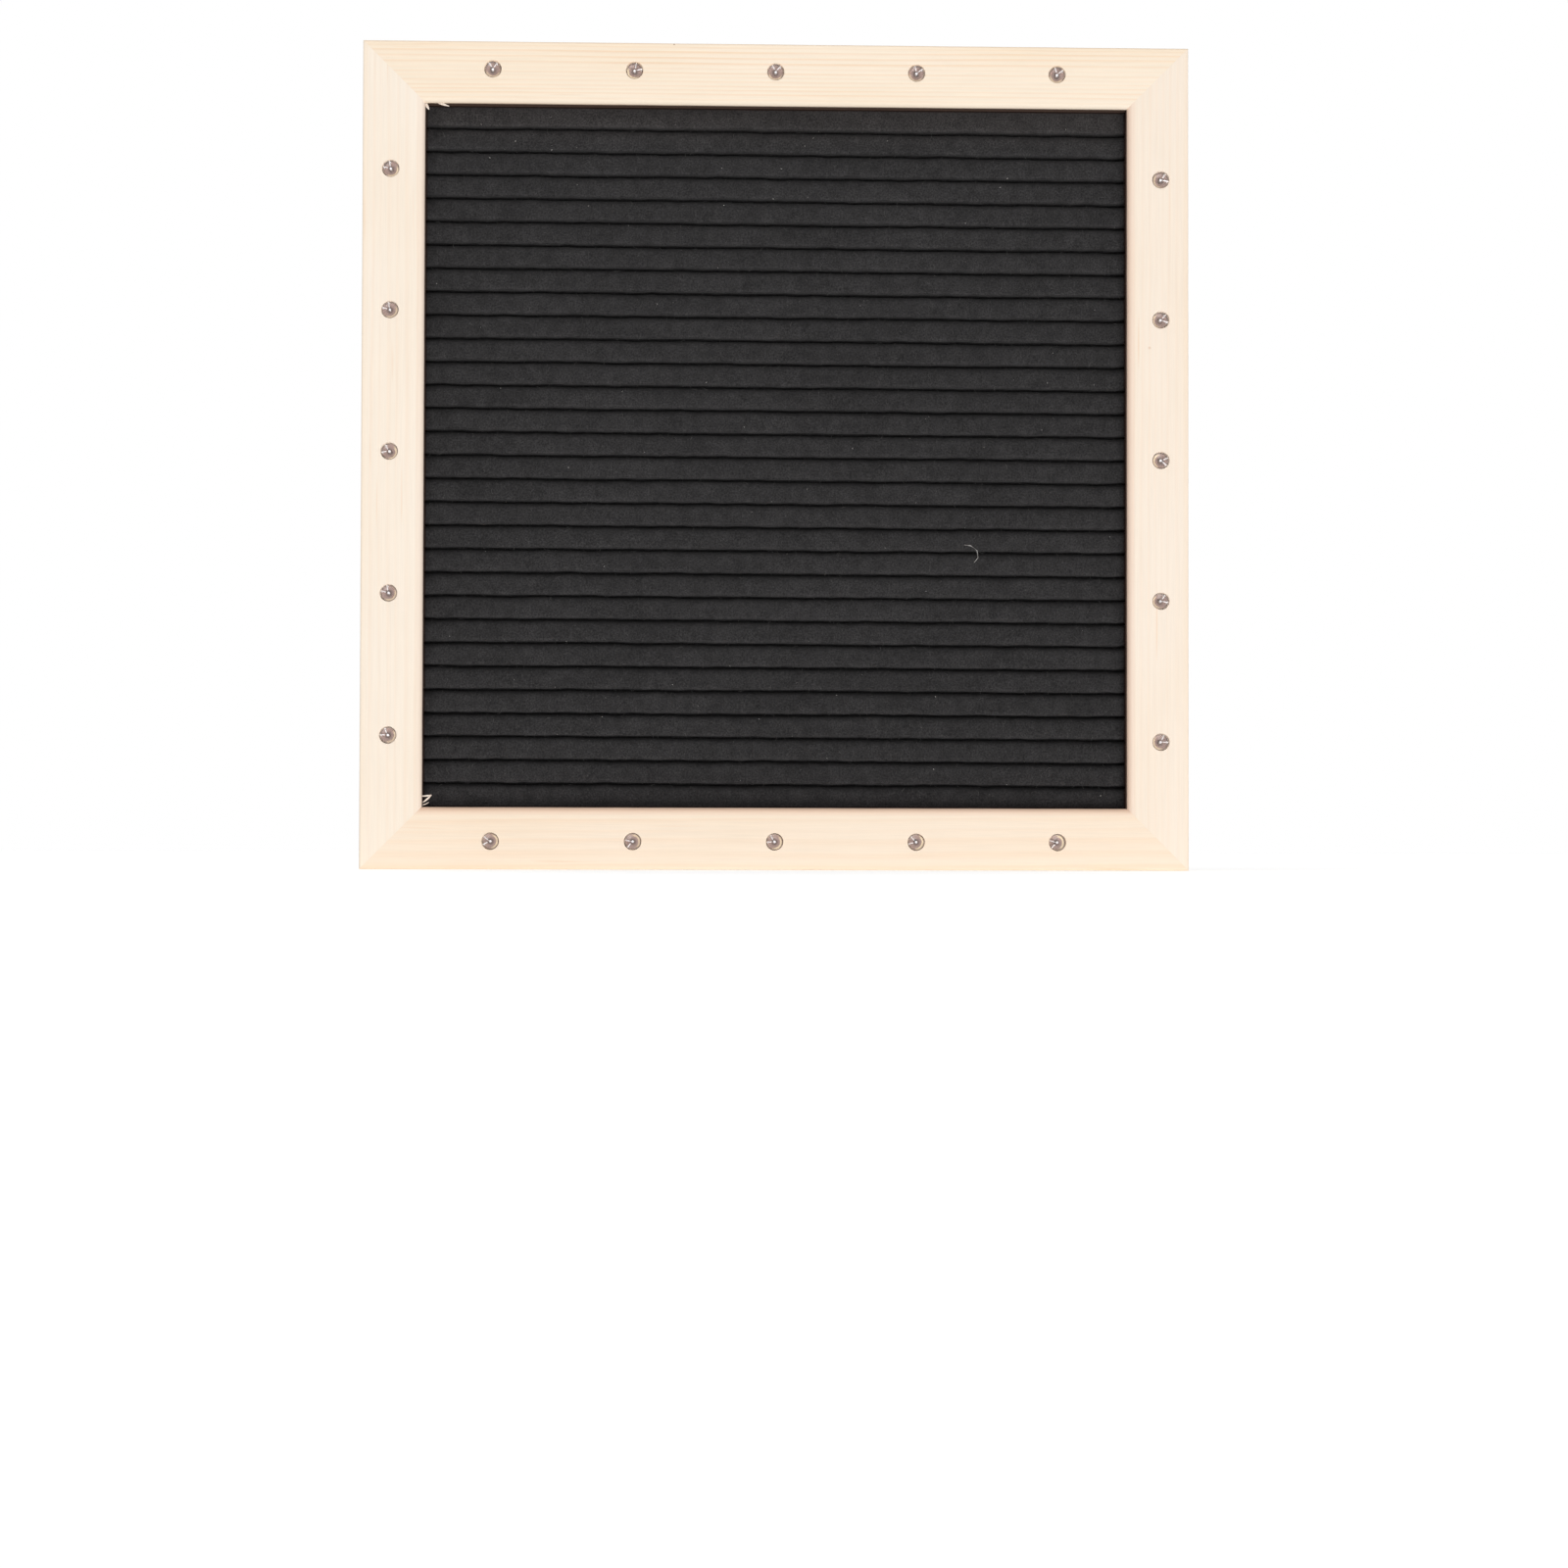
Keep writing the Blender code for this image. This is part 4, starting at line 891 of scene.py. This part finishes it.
light = {
    "radius": 2.5, "length": 8.6, "standOut": 2.0, "flange": 1.0, "rim": 0.4, "rimEdge": 0.08, "flat": 2.6,
    "domeSteps": 14, "sides": 40, "sharpAbove": 40,
    "lean": 2.2, "twist": 24.0, "seed": 7,       # how far each is off its straight place, in degrees
    "cupDepth": 0.6, "cupRadius": 0.32, "cupDish": 0.12, "cupLength": 1.4, "cupSides": 16,
    "prongDepth": 0.75, "prongFall": 0.35, "prongWidth": 0.23,
    "prongRoot": (0.36, 0.72), "prongEnd": (0.95, 1.75),         # along X and Z
    "legApart": 2.54, "leg": 0.5, "legStart": 3.15, "legOverlap": 0.2, "legEnd": 16.8,
    "wire": 0.06, "wireReach": (0.1, 0.2, 0.3),
    "coreFront": 1.35, "coreBack": 5.2, "coreRadius": 2.4, "coreSides": 32,
    # The core's dished front: shares of its radius and how deep it is there
    "dish": ((0, 0.5), (0.3, 0.47), (0.6, 0.32), (0.9, 0), (1, 0.1)),
    "prongsPoint": {"bottom": -85, "right": 80, "top": 24, "left": -55},     # degrees
}


def lensMesh():
    # Dome to the front, -Y, its axis on Y, with the board's face at y = 0.
    r, tip, edge = light["radius"], -light["standOut"], light["rimEdge"]
    points = []
    for step in range(light["domeSteps"] + 1):
        angle = math.pi / 2 * step / light["domeSteps"]
        points.append((r * math.sin(angle), tip + r * (1 - math.cos(angle))))
    back, wide = tip + light["length"], r + light["rim"]
    front = back - light["flange"]
    points += [(r, front), (wide, front + edge), (wide, back - edge), (wide - edge, back), (0, back)]
    shape = bmesh.new()
    shape.from_mesh(turnedMesh("lens", points, light["sides"]))
    # The flange has a flat on the side of the negative lead
    whole = shape.verts[:] + shape.edges[:] + shape.faces[:]
    flat = (-light["flat"] * mm, 0, 0)
    bmesh.ops.bisect_plane(shape, geom=whole, plane_co=flat, plane_no=(-1, 0, 0), clear_outer=True)
    bmesh.ops.holes_fill(shape, edges=[edge for edge in shape.edges if edge.is_boundary])
    mesh = meshFrom(shape, "lens")
    mesh.shade_smooth()
    mesh.set_sharp_from_angle(angle=math.radians(light["sharpAbove"]))
    return mesh


def bar(shape, start, end, width):
    # A square bar between two places.
    start, end = Vector(start), Vector(end)
    turn = (end - start).to_track_quat("Z", "Y").to_matrix().to_4x4()
    made = bmesh.ops.create_cube(shape, size=1)["verts"]
    size = Matrix.Diagonal((width, width, (end - start).length, 1))
    matrix = Matrix.Scale(mm, 4) @ Matrix.Translation((start + end) / 2) @ turn @ size
    bmesh.ops.transform(shape, matrix=matrix, verts=made)


def leadMesh():
    # One light's metal: the cup, two prongs that part from it, the bond wire and the legs.
    shape = bmesh.new()
    top, outer = light["cupDepth"], light["cupRadius"]
    dish, end = top + light["cupDish"], top + light["cupLength"]
    profile = [(0, dish), (outer * 0.55, dish), (outer * 0.9, top), (outer, top),
               (outer * 0.8, end), (0, end)]
    shape.from_mesh(turnedMesh("cup", profile, light["cupSides"]))
    deep, (nearX, nearZ), (farX, farZ) = light["prongDepth"], light["prongRoot"], light["prongEnd"]
    fall, apart, width = deep + light["prongFall"], light["legApart"] / 2, light["prongWidth"]
    start = light["legStart"]
    for side in (-1, 1):
        bar(shape, (side * nearX, deep, nearZ), (side * farX, fall, farZ), width)
        bar(shape, (side * farX, fall, farZ), (side * apart, start + light["legOverlap"], 0), width)
        bar(shape, (side * apart, start, 0), (side * apart, light["legEnd"], 0), light["leg"])
    x, y, z = light["wireReach"]
    bar(shape, (0, top, 0), (nearX + x, top + y, nearZ + z), light["wire"])
    return meshFrom(shape, "lead")


def coreMesh():
    # The cloudy lower part of the resin. It keeps its own places, for its colours.
    front, back, radius = light["coreFront"], light["coreBack"], light["coreRadius"]
    profile = [(radius * share, front + depth) for share, depth in light["dish"]]
    profile += [(radius, back), (0, back)]
    mesh = turnedMesh("core", profile, light["coreSides"])
    mesh.shade_smooth()
    spot = mesh.attributes.new("spot", "FLOAT_VECTOR", "POINT")
    for vertex, kept in zip(mesh.vertices, spot.data):
        kept.vector = vertex.co / mm
    return mesh


def placingTree(values):
    # A light at each point, turned with its rail and a little at random.
    tree, given = newTree("lightsInRails", values)
    swings = []
    for offset, most in enumerate(("Lean", "Lean", "Twist")):
        seed = maths(tree, "ADD", given["Seed"], float(offset))
        least = maths(tree, "MULTIPLY", given[most], -1.0)
        swings.append(randomOf(tree, "FLOAT", least, given[most], seed))
    side = add(tree, "GeometryNodeInputNamedAttribute", {"Name": "turn"}, data_type="FLOAT")
    around = maths(tree, "ADD", side.outputs["Attribute"], swings[2])
    turn = point(tree, X=swings[0], Y=around, Z=swings[1])
    points = add(tree, "GeometryNodeMeshToPoints", {"Mesh": given["Geometry"]}).outputs[0]
    return endTree(tree, copiesOf(tree, given["Shape"], points, turn), given["Material"])


def makeClearResin():
    material, tree, shader, place = newMaterial(
        "clearResin", Roughness=0.02, IOR=1.15, Transmission_Weight=0.97,
        Coat_Weight=1.0, Coat_Roughness=0.03, Coat_IOR=1.5)
    haze = noiseOf(tree, place, 420)
    dress(tree, shader, Base_Color=ramp(tree, haze, (0.3, (0.86, 0.78, 0.75)), (0.7, (0.95, 0.89, 0.87))))
    bumpFrom(tree, shader, haze, 0.02, 0.3)
    return material


def makeCloudyResin():
    # Mauve grey, darker round the cup, with painted shade at the rim and a painted reflection of the pale bore
    # wall as a ring on the side away from the prongs
    material, tree, shader, place = newMaterial("cloudyResin", Roughness=0.35)
    spot = add(tree, "ShaderNodeAttribute", attribute_name="spot").outputs["Vector"]
    flat = add(tree, "ShaderNodeVectorMath", {0: spot, 1: (1, 0, 1)}, operation="MULTIPLY").outputs[0]
    reach = add(tree, "ShaderNodeVectorMath", {0: flat}, operation="LENGTH").outputs["Value"]
    reach = maths(tree, "DIVIDE", reach, light["coreRadius"])
    cloud = noiseOf(tree, place, 700)
    reach = maths(tree, "MULTIPLY_ADD", centred(tree, cloud), 0.12, reach)
    # The last, dark stop is painted shade at the rim
    colour = ramp(tree, reach, (0.0, (0.09, 0.055, 0.045)), (0.26, (0.13, 0.085, 0.07)),
                  (0.40, (0.29, 0.20, 0.175)), (0.66, (0.35, 0.245, 0.215)), (0.80, (0.10, 0.055, 0.04)))
    # Painted reflection: a pale ring, the bore wall's wood, on the side away from the prongs
    ring = ramp(tree, reach, (0.52, 0.0), (0.60, 1.0), (0.70, 1.0), (0.77, 0.0))
    strength = noiseOf(tree, place, 38, detail=1)
    ring = maths(tree, "MULTIPLY", ring, ramp(tree, strength, (0.38, 0.65), (0.60, 1.0)))
    away = maths(tree, "DIVIDE", axes(tree, flat)["Z"], -light["coreRadius"])
    ring = maths(tree, "MULTIPLY", ring, ramp(tree, away, (0.05, 0.0), (0.40, 1.0)))
    dress(tree, shader, Base_Color=mixColour(tree, ring, colour, (0.84, 0.73, 0.50)))
    bumpFrom(tree, shader, cloud, 0.05, 0.3)
    return material


def makePlating(name, colour, roughness, metallic=1.0):
    material, tree, shader, place = newMaterial(name, Metallic=metallic)
    cloud = noiseOf(tree, place, 260, detail=3)
    drawn = noiseOf(tree, place, (2600, 120, 2600))
    dull = tuple(c * 0.8 for c in colour)
    base = mixColour(tree, ramp(tree, cloud, (0.35, 0.0), (0.7, 1.0)), dull, colour)
    dress(tree, shader, Base_Color=base, Roughness=maths(tree, "MULTIPLY_ADD", cloud, 0.18, roughness - 0.09))
    bumpFrom(tree, shader, drawn, 0.02, 0.3)
    return material


def makeLights():
    # One point for each light, with the turn of its rail
    mesh = bpy.data.meshes.new("lightPlaces")
    mesh.from_pydata([ledPlace(name) for name in ledNodes], [], [])
    turn = mesh.attributes.new("turn", "FLOAT", "POINT")
    turns = [math.radians(light["prongsPoint"][name.split("_")[1]]) for name in ledNodes]
    turn.data.foreach_set("value", turns)
    pieces = {
        "led_lenses": (lensMesh(), makeClearResin(), "clear_resin"),
        "led_leads": (leadMesh(), makePlating("leadSilver", (0.95, 0.97, 1.0), 0.35, 0.2), "steel"),
        "led_cores": (coreMesh(), makeCloudyResin(), "clear_resin"),
    }
    for name, (shapeMesh, material, slot) in pieces.items():
        pattern = newPiece(name + "_shape", shapeMesh)
        piece = newPiece(name, mesh.copy())
        values = {
            "Shape": pattern, "Material": material, "Lean": math.radians(light["lean"]),
            "Twist": math.radians(light["twist"]), "Seed": light["seed"],
        }
        runTree(piece, placingTree(values), values)
        settled(piece)
        bpy.data.objects.remove(pattern)
        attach(piece, "board")
        if name == "led_lenses":
            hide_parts(*ledNodes)
            piece.visible_shadow = False     # lets the lamps' light reach the leads inside


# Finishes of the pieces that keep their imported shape

shading = {"Join Within": 0.002 * mm, "Sharp Above": math.radians(35)}


def shadingTree():
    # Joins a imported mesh's loose triangles and keeps its sharp edges crisp. The mesh itself stays as it is.
    tree, given = newTree("joinedAndShaded", shading)
    bare = add(tree, "GeometryNodeRemoveAttribute", {"Geometry": given["Geometry"], "Name": "custom_normal"})
    shaded = add(tree, "GeometryNodeMergeByDistance", {
        "Geometry": bare.outputs[0], "Distance": given["Join Within"]}).outputs[0]
    angle = add(tree, "GeometryNodeInputMeshEdgeAngle").outputs["Unsigned Angle"]
    sharp = maths(tree, "GREATER_THAN", angle, given["Sharp Above"])
    for domain, chosen, smooth in (("FACE", True, True), ("EDGE", True, True), ("EDGE", sharp, False)):
        shaded = add(tree, "GeometryNodeSetShadeSmooth", {
            "Geometry": shaded, "Selection": chosen, "Shade Smooth": smooth}, domain=domain).outputs[0]
    tree.links.new(shaded, tree.nodes.new("NodeGroupOutput").inputs[0])
    return tree


def paint(tree, material, *names):
    for name in names:
        piece = nodes[name]
        piece.data.materials.clear()
        piece.data.materials.append(material)
        runTree(piece, tree, shading)


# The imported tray's mesh has one edge laid the wrong way beside the cover's end, which leaves a slanting dent.
# A copy with that edge turned stands in for it.

badEdge = ((-24.55, 10.8, 68.95), (-21.1, 9.6, 57.5))        # its ends, in mm
badEdgeWithin = 0.05


def makeTray(tree, material):
    shape = bmesh.new()
    shape.from_mesh(nodes["battery_tray"].data)
    bmesh.ops.remove_doubles(shape, verts=shape.verts, dist=shading["Join Within"])
    ends = [Vector(end) * mm for end in badEdge]
    for edge in shape.edges:
        if all(min((v.co - end).length for v in edge.verts) < badEdgeWithin * mm for end in ends):
            bmesh.ops.rotate_edges(shape, edges=[edge], use_ccw=True)
            break
    else:
        print("tray: no edge to turn")
    mesh = bpy.data.meshes.new("tray_shell")
    shape.to_mesh(mesh)
    shape.free()
    tray = newPiece("tray_shell", mesh, material)
    runTree(tray, tree, shading)
    settled(tray)
    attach(tray, "board")
    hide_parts("battery_tray")


# Marks moulded on the tray and its cover, in mm

marks = {
    "high": 0.3, "sunk": 0.1, "textSize": 2.9, "textJoin": 0.001, "armLength": 2.4, "armWidth": 0.7,
    "backLevel": 10.8, "bayFloor": -1.3,         # the faces that carry them, along Y
    "words": (("OFF", (-29.9, 73.8)), ("ON", (-24.0, 73.8))),      # middles along X and Z
    "minus": ((-8.5, 58.3), (21.0, 70.0), (-8.5, 81.7)),
    "plus": ((27.0, 58.3), (-14.5, 70.0), (27.0, 81.7)),
    "arrow": ((15.8, 70.0), (11.2, 73.2), (11.2, 71.3), (5.6, 71.3), (5.6, 68.7), (11.2, 68.7), (11.2, 66.8)),
}


def wordMesh(word, middle):
    data = bpy.data.curves.new(word, "FONT")
    data.body = word
    data.size = marks["textSize"] * mm
    data.align_x = "CENTER"
    data.resolution_u = 2
    data.extrude = (marks["high"] + marks["sunk"]) / 2 * mm
    made = bpy.data.objects.new(word, data)
    mesh = bpy.data.meshes.new_from_object(made)
    bpy.data.objects.remove(made)
    bpy.data.curves.remove(data)
    x, z = middle
    y = marks["backLevel"] + (marks["high"] - marks["sunk"]) / 2
    facingBack = Matrix(((-1, 0, 0, x * mm), (0, 0, 1, y * mm), (0, 1, 0, z * mm), (0, 0, 0, 1)))
    mesh.transform(facingBack)
    shape = bmesh.new()
    shape.from_mesh(mesh)
    bmesh.ops.remove_doubles(shape, verts=shape.verts, dist=marks["textJoin"] * mm)
    return meshFrom(shape, word)


def raisedMesh(outline, level):
    # An outline of (x, z) points that stands up from a level face, and goes a little into it.
    shape = bmesh.new()
    low, high = level - marks["sunk"], level + marks["high"]
    face = shape.faces.new([shape.verts.new((x * mm, low * mm, z * mm)) for x, z in outline])
    raised = bmesh.ops.extrude_face_region(shape, geom=[face])["geom"]
    lifted = [v for v in raised if isinstance(v, bmesh.types.BMVert)]
    bmesh.ops.translate(shape, verts=lifted, vec=(0, (high - low) * mm, 0))
    return meshFrom(shape, "mark")


def signMesh(middle, across):
    # A minus, or a plus with a second bar across it, as one outline
    long, thin = marks["armLength"] / 2, marks["armWidth"] / 2
    if across:
        turn = ((long, thin), (thin, thin), (thin, long), (-thin, long), (-thin, thin), (-long, thin))
        outline = turn + tuple((-x, -z) for x, z in turn)
    else:
        outline = ((long, thin), (-long, thin), (-long, -thin), (long, -thin))
    return raisedMesh([(middle[0] + x, middle[1] + z) for x, z in outline], marks["bayFloor"])


def makeMarks(material):
    onTray = [wordMesh(word, middle) for word, middle in marks["words"]]
    onTray += [signMesh(middle, False) for middle in marks["minus"]]
    onTray += [signMesh(middle, True) for middle in marks["plus"]]
    arrow = raisedMesh(marks["arrow"], marks["backLevel"])
    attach(newPiece("tray_marks", joinedMesh("tray_marks", onTray), material), "board")
    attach(newPiece("cover_arrow", joinedMesh("cover_arrow", [arrow]), material), "cover")


def makeBoardMaterial(name, pale, dark, fibreScale):
    material, tree, shader, place = newMaterial(name, Specular_IOR_Level=0.3)
    fibre = noiseOf(tree, place, fibreScale, detail=4, roughness=0.7)
    fleck = noiseOf(tree, place, 900, detail=1)
    broad = noiseOf(tree, place, 18)
    colour = mixColour(tree, ramp(tree, fibre, (0.32, 0.0), (0.68, 1.0)), dark, pale)
    flecked = ramp(tree, fleck, (0.68, 0.0), (0.78, 0.45))
    colour = mixColour(tree, flecked, colour, tuple(c * 0.45 for c in dark))
    colour = tinted(tree, colour, ramp(tree, broad, (0.3, 0.88), (0.7, 1.06)))
    dress(tree, shader, Base_Color=colour, Roughness=ramp(tree, fibre, (0.3, 0.55), (0.7, 0.75)))
    bumpFrom(tree, shader, fibre, 0.06, 0.5)
    return material


def makeMoulded(name, colour, roughness, grain):
    material, tree, shader, place = newMaterial(name, Specular_IOR_Level=0.45)
    spark = noiseOf(tree, place, grain)
    cloud = noiseOf(tree, place, 60)
    pale = tuple(min(1, c * 1.25 + 0.004) for c in colour)
    base = mixColour(tree, ramp(tree, cloud, (0.3, 0.0), (0.75, 1.0)), colour, pale)
    dress(tree, shader, Base_Color=base, Roughness=maths(tree, "MULTIPLY_ADD", spark, 0.2, roughness - 0.1))
    bumpFrom(tree, shader, spark, 0.03, 0.5)
    return material


def paintPackedPieces():
    tree = shadingTree()
    paint(tree, makeBoardMaterial("fibreboard", (0.36, 0.24, 0.15), (0.22, 0.14, 0.08), 1400), "slotted_core")
    paint(tree, makeBoardMaterial("hardboard", (0.38, 0.25, 0.15), (0.27, 0.165, 0.095), 700), "back_board")
    steelNodes = [f"corner_v_nail_{side}" for side in sides]
    for kind in ("back_pin", "panel_point"):
        steelNodes += [f"{kind}_{side}_{i}" for side in sides for i in (1, 2)]
    paint(tree, makePlating("drawnSteel", (0.60, 0.59, 0.57), 0.38), "switch_body", *steelNodes)
    paint(tree, makePlating("nickelSheet", (0.74, 0.71, 0.66), 0.26), "sawtooth_hanger", "hanger_rivet_1",
          "hanger_rivet_2", "contact_negative", "contact_link_left", "contact_link_right", "contact_positive")
    blackPlastic = makeMoulded("blackPlastic", (0.022, 0.022, 0.023), 0.48, 2400)
    makeTray(tree, blackPlastic)
    paint(tree, blackPlastic, "battery_cover")
    makeMarks(blackPlastic)
    paint(tree, makeMoulded("whitePlastic", (0.78, 0.78, 0.75), 0.4, 1500), "switch_slider")
    paint(tree, makeMoulded("redInsulation", (0.50, 0.03, 0.02), 0.42, 1800), "wire_positive")
    paint(tree, makeMoulded("blackInsulation", (0.02, 0.02, 0.02), 0.42, 1800), "wire_negative")


bpy.context.scene.view_settings.view_transform = "Standard"
makeCamera()
makeSurroundings()
makeFloor()
print("camera and lights are in place")
railNodes = {"top": "top_rail", "bottom": "bottom_rail", "left": "left_stile", "right": "right_stile"}
for side, node in railNodes.items():
    makeRail(side, node)
print("rails are cut and bored")
sheet = makeFelt()
print("felt is folded")
makeFuzz(sheet)
makeSlivers()
print("nap, lint and slivers are on")
makeLights()
print("lights are set")
paintPackedPieces()
print("back, tray and fasteners are finished")
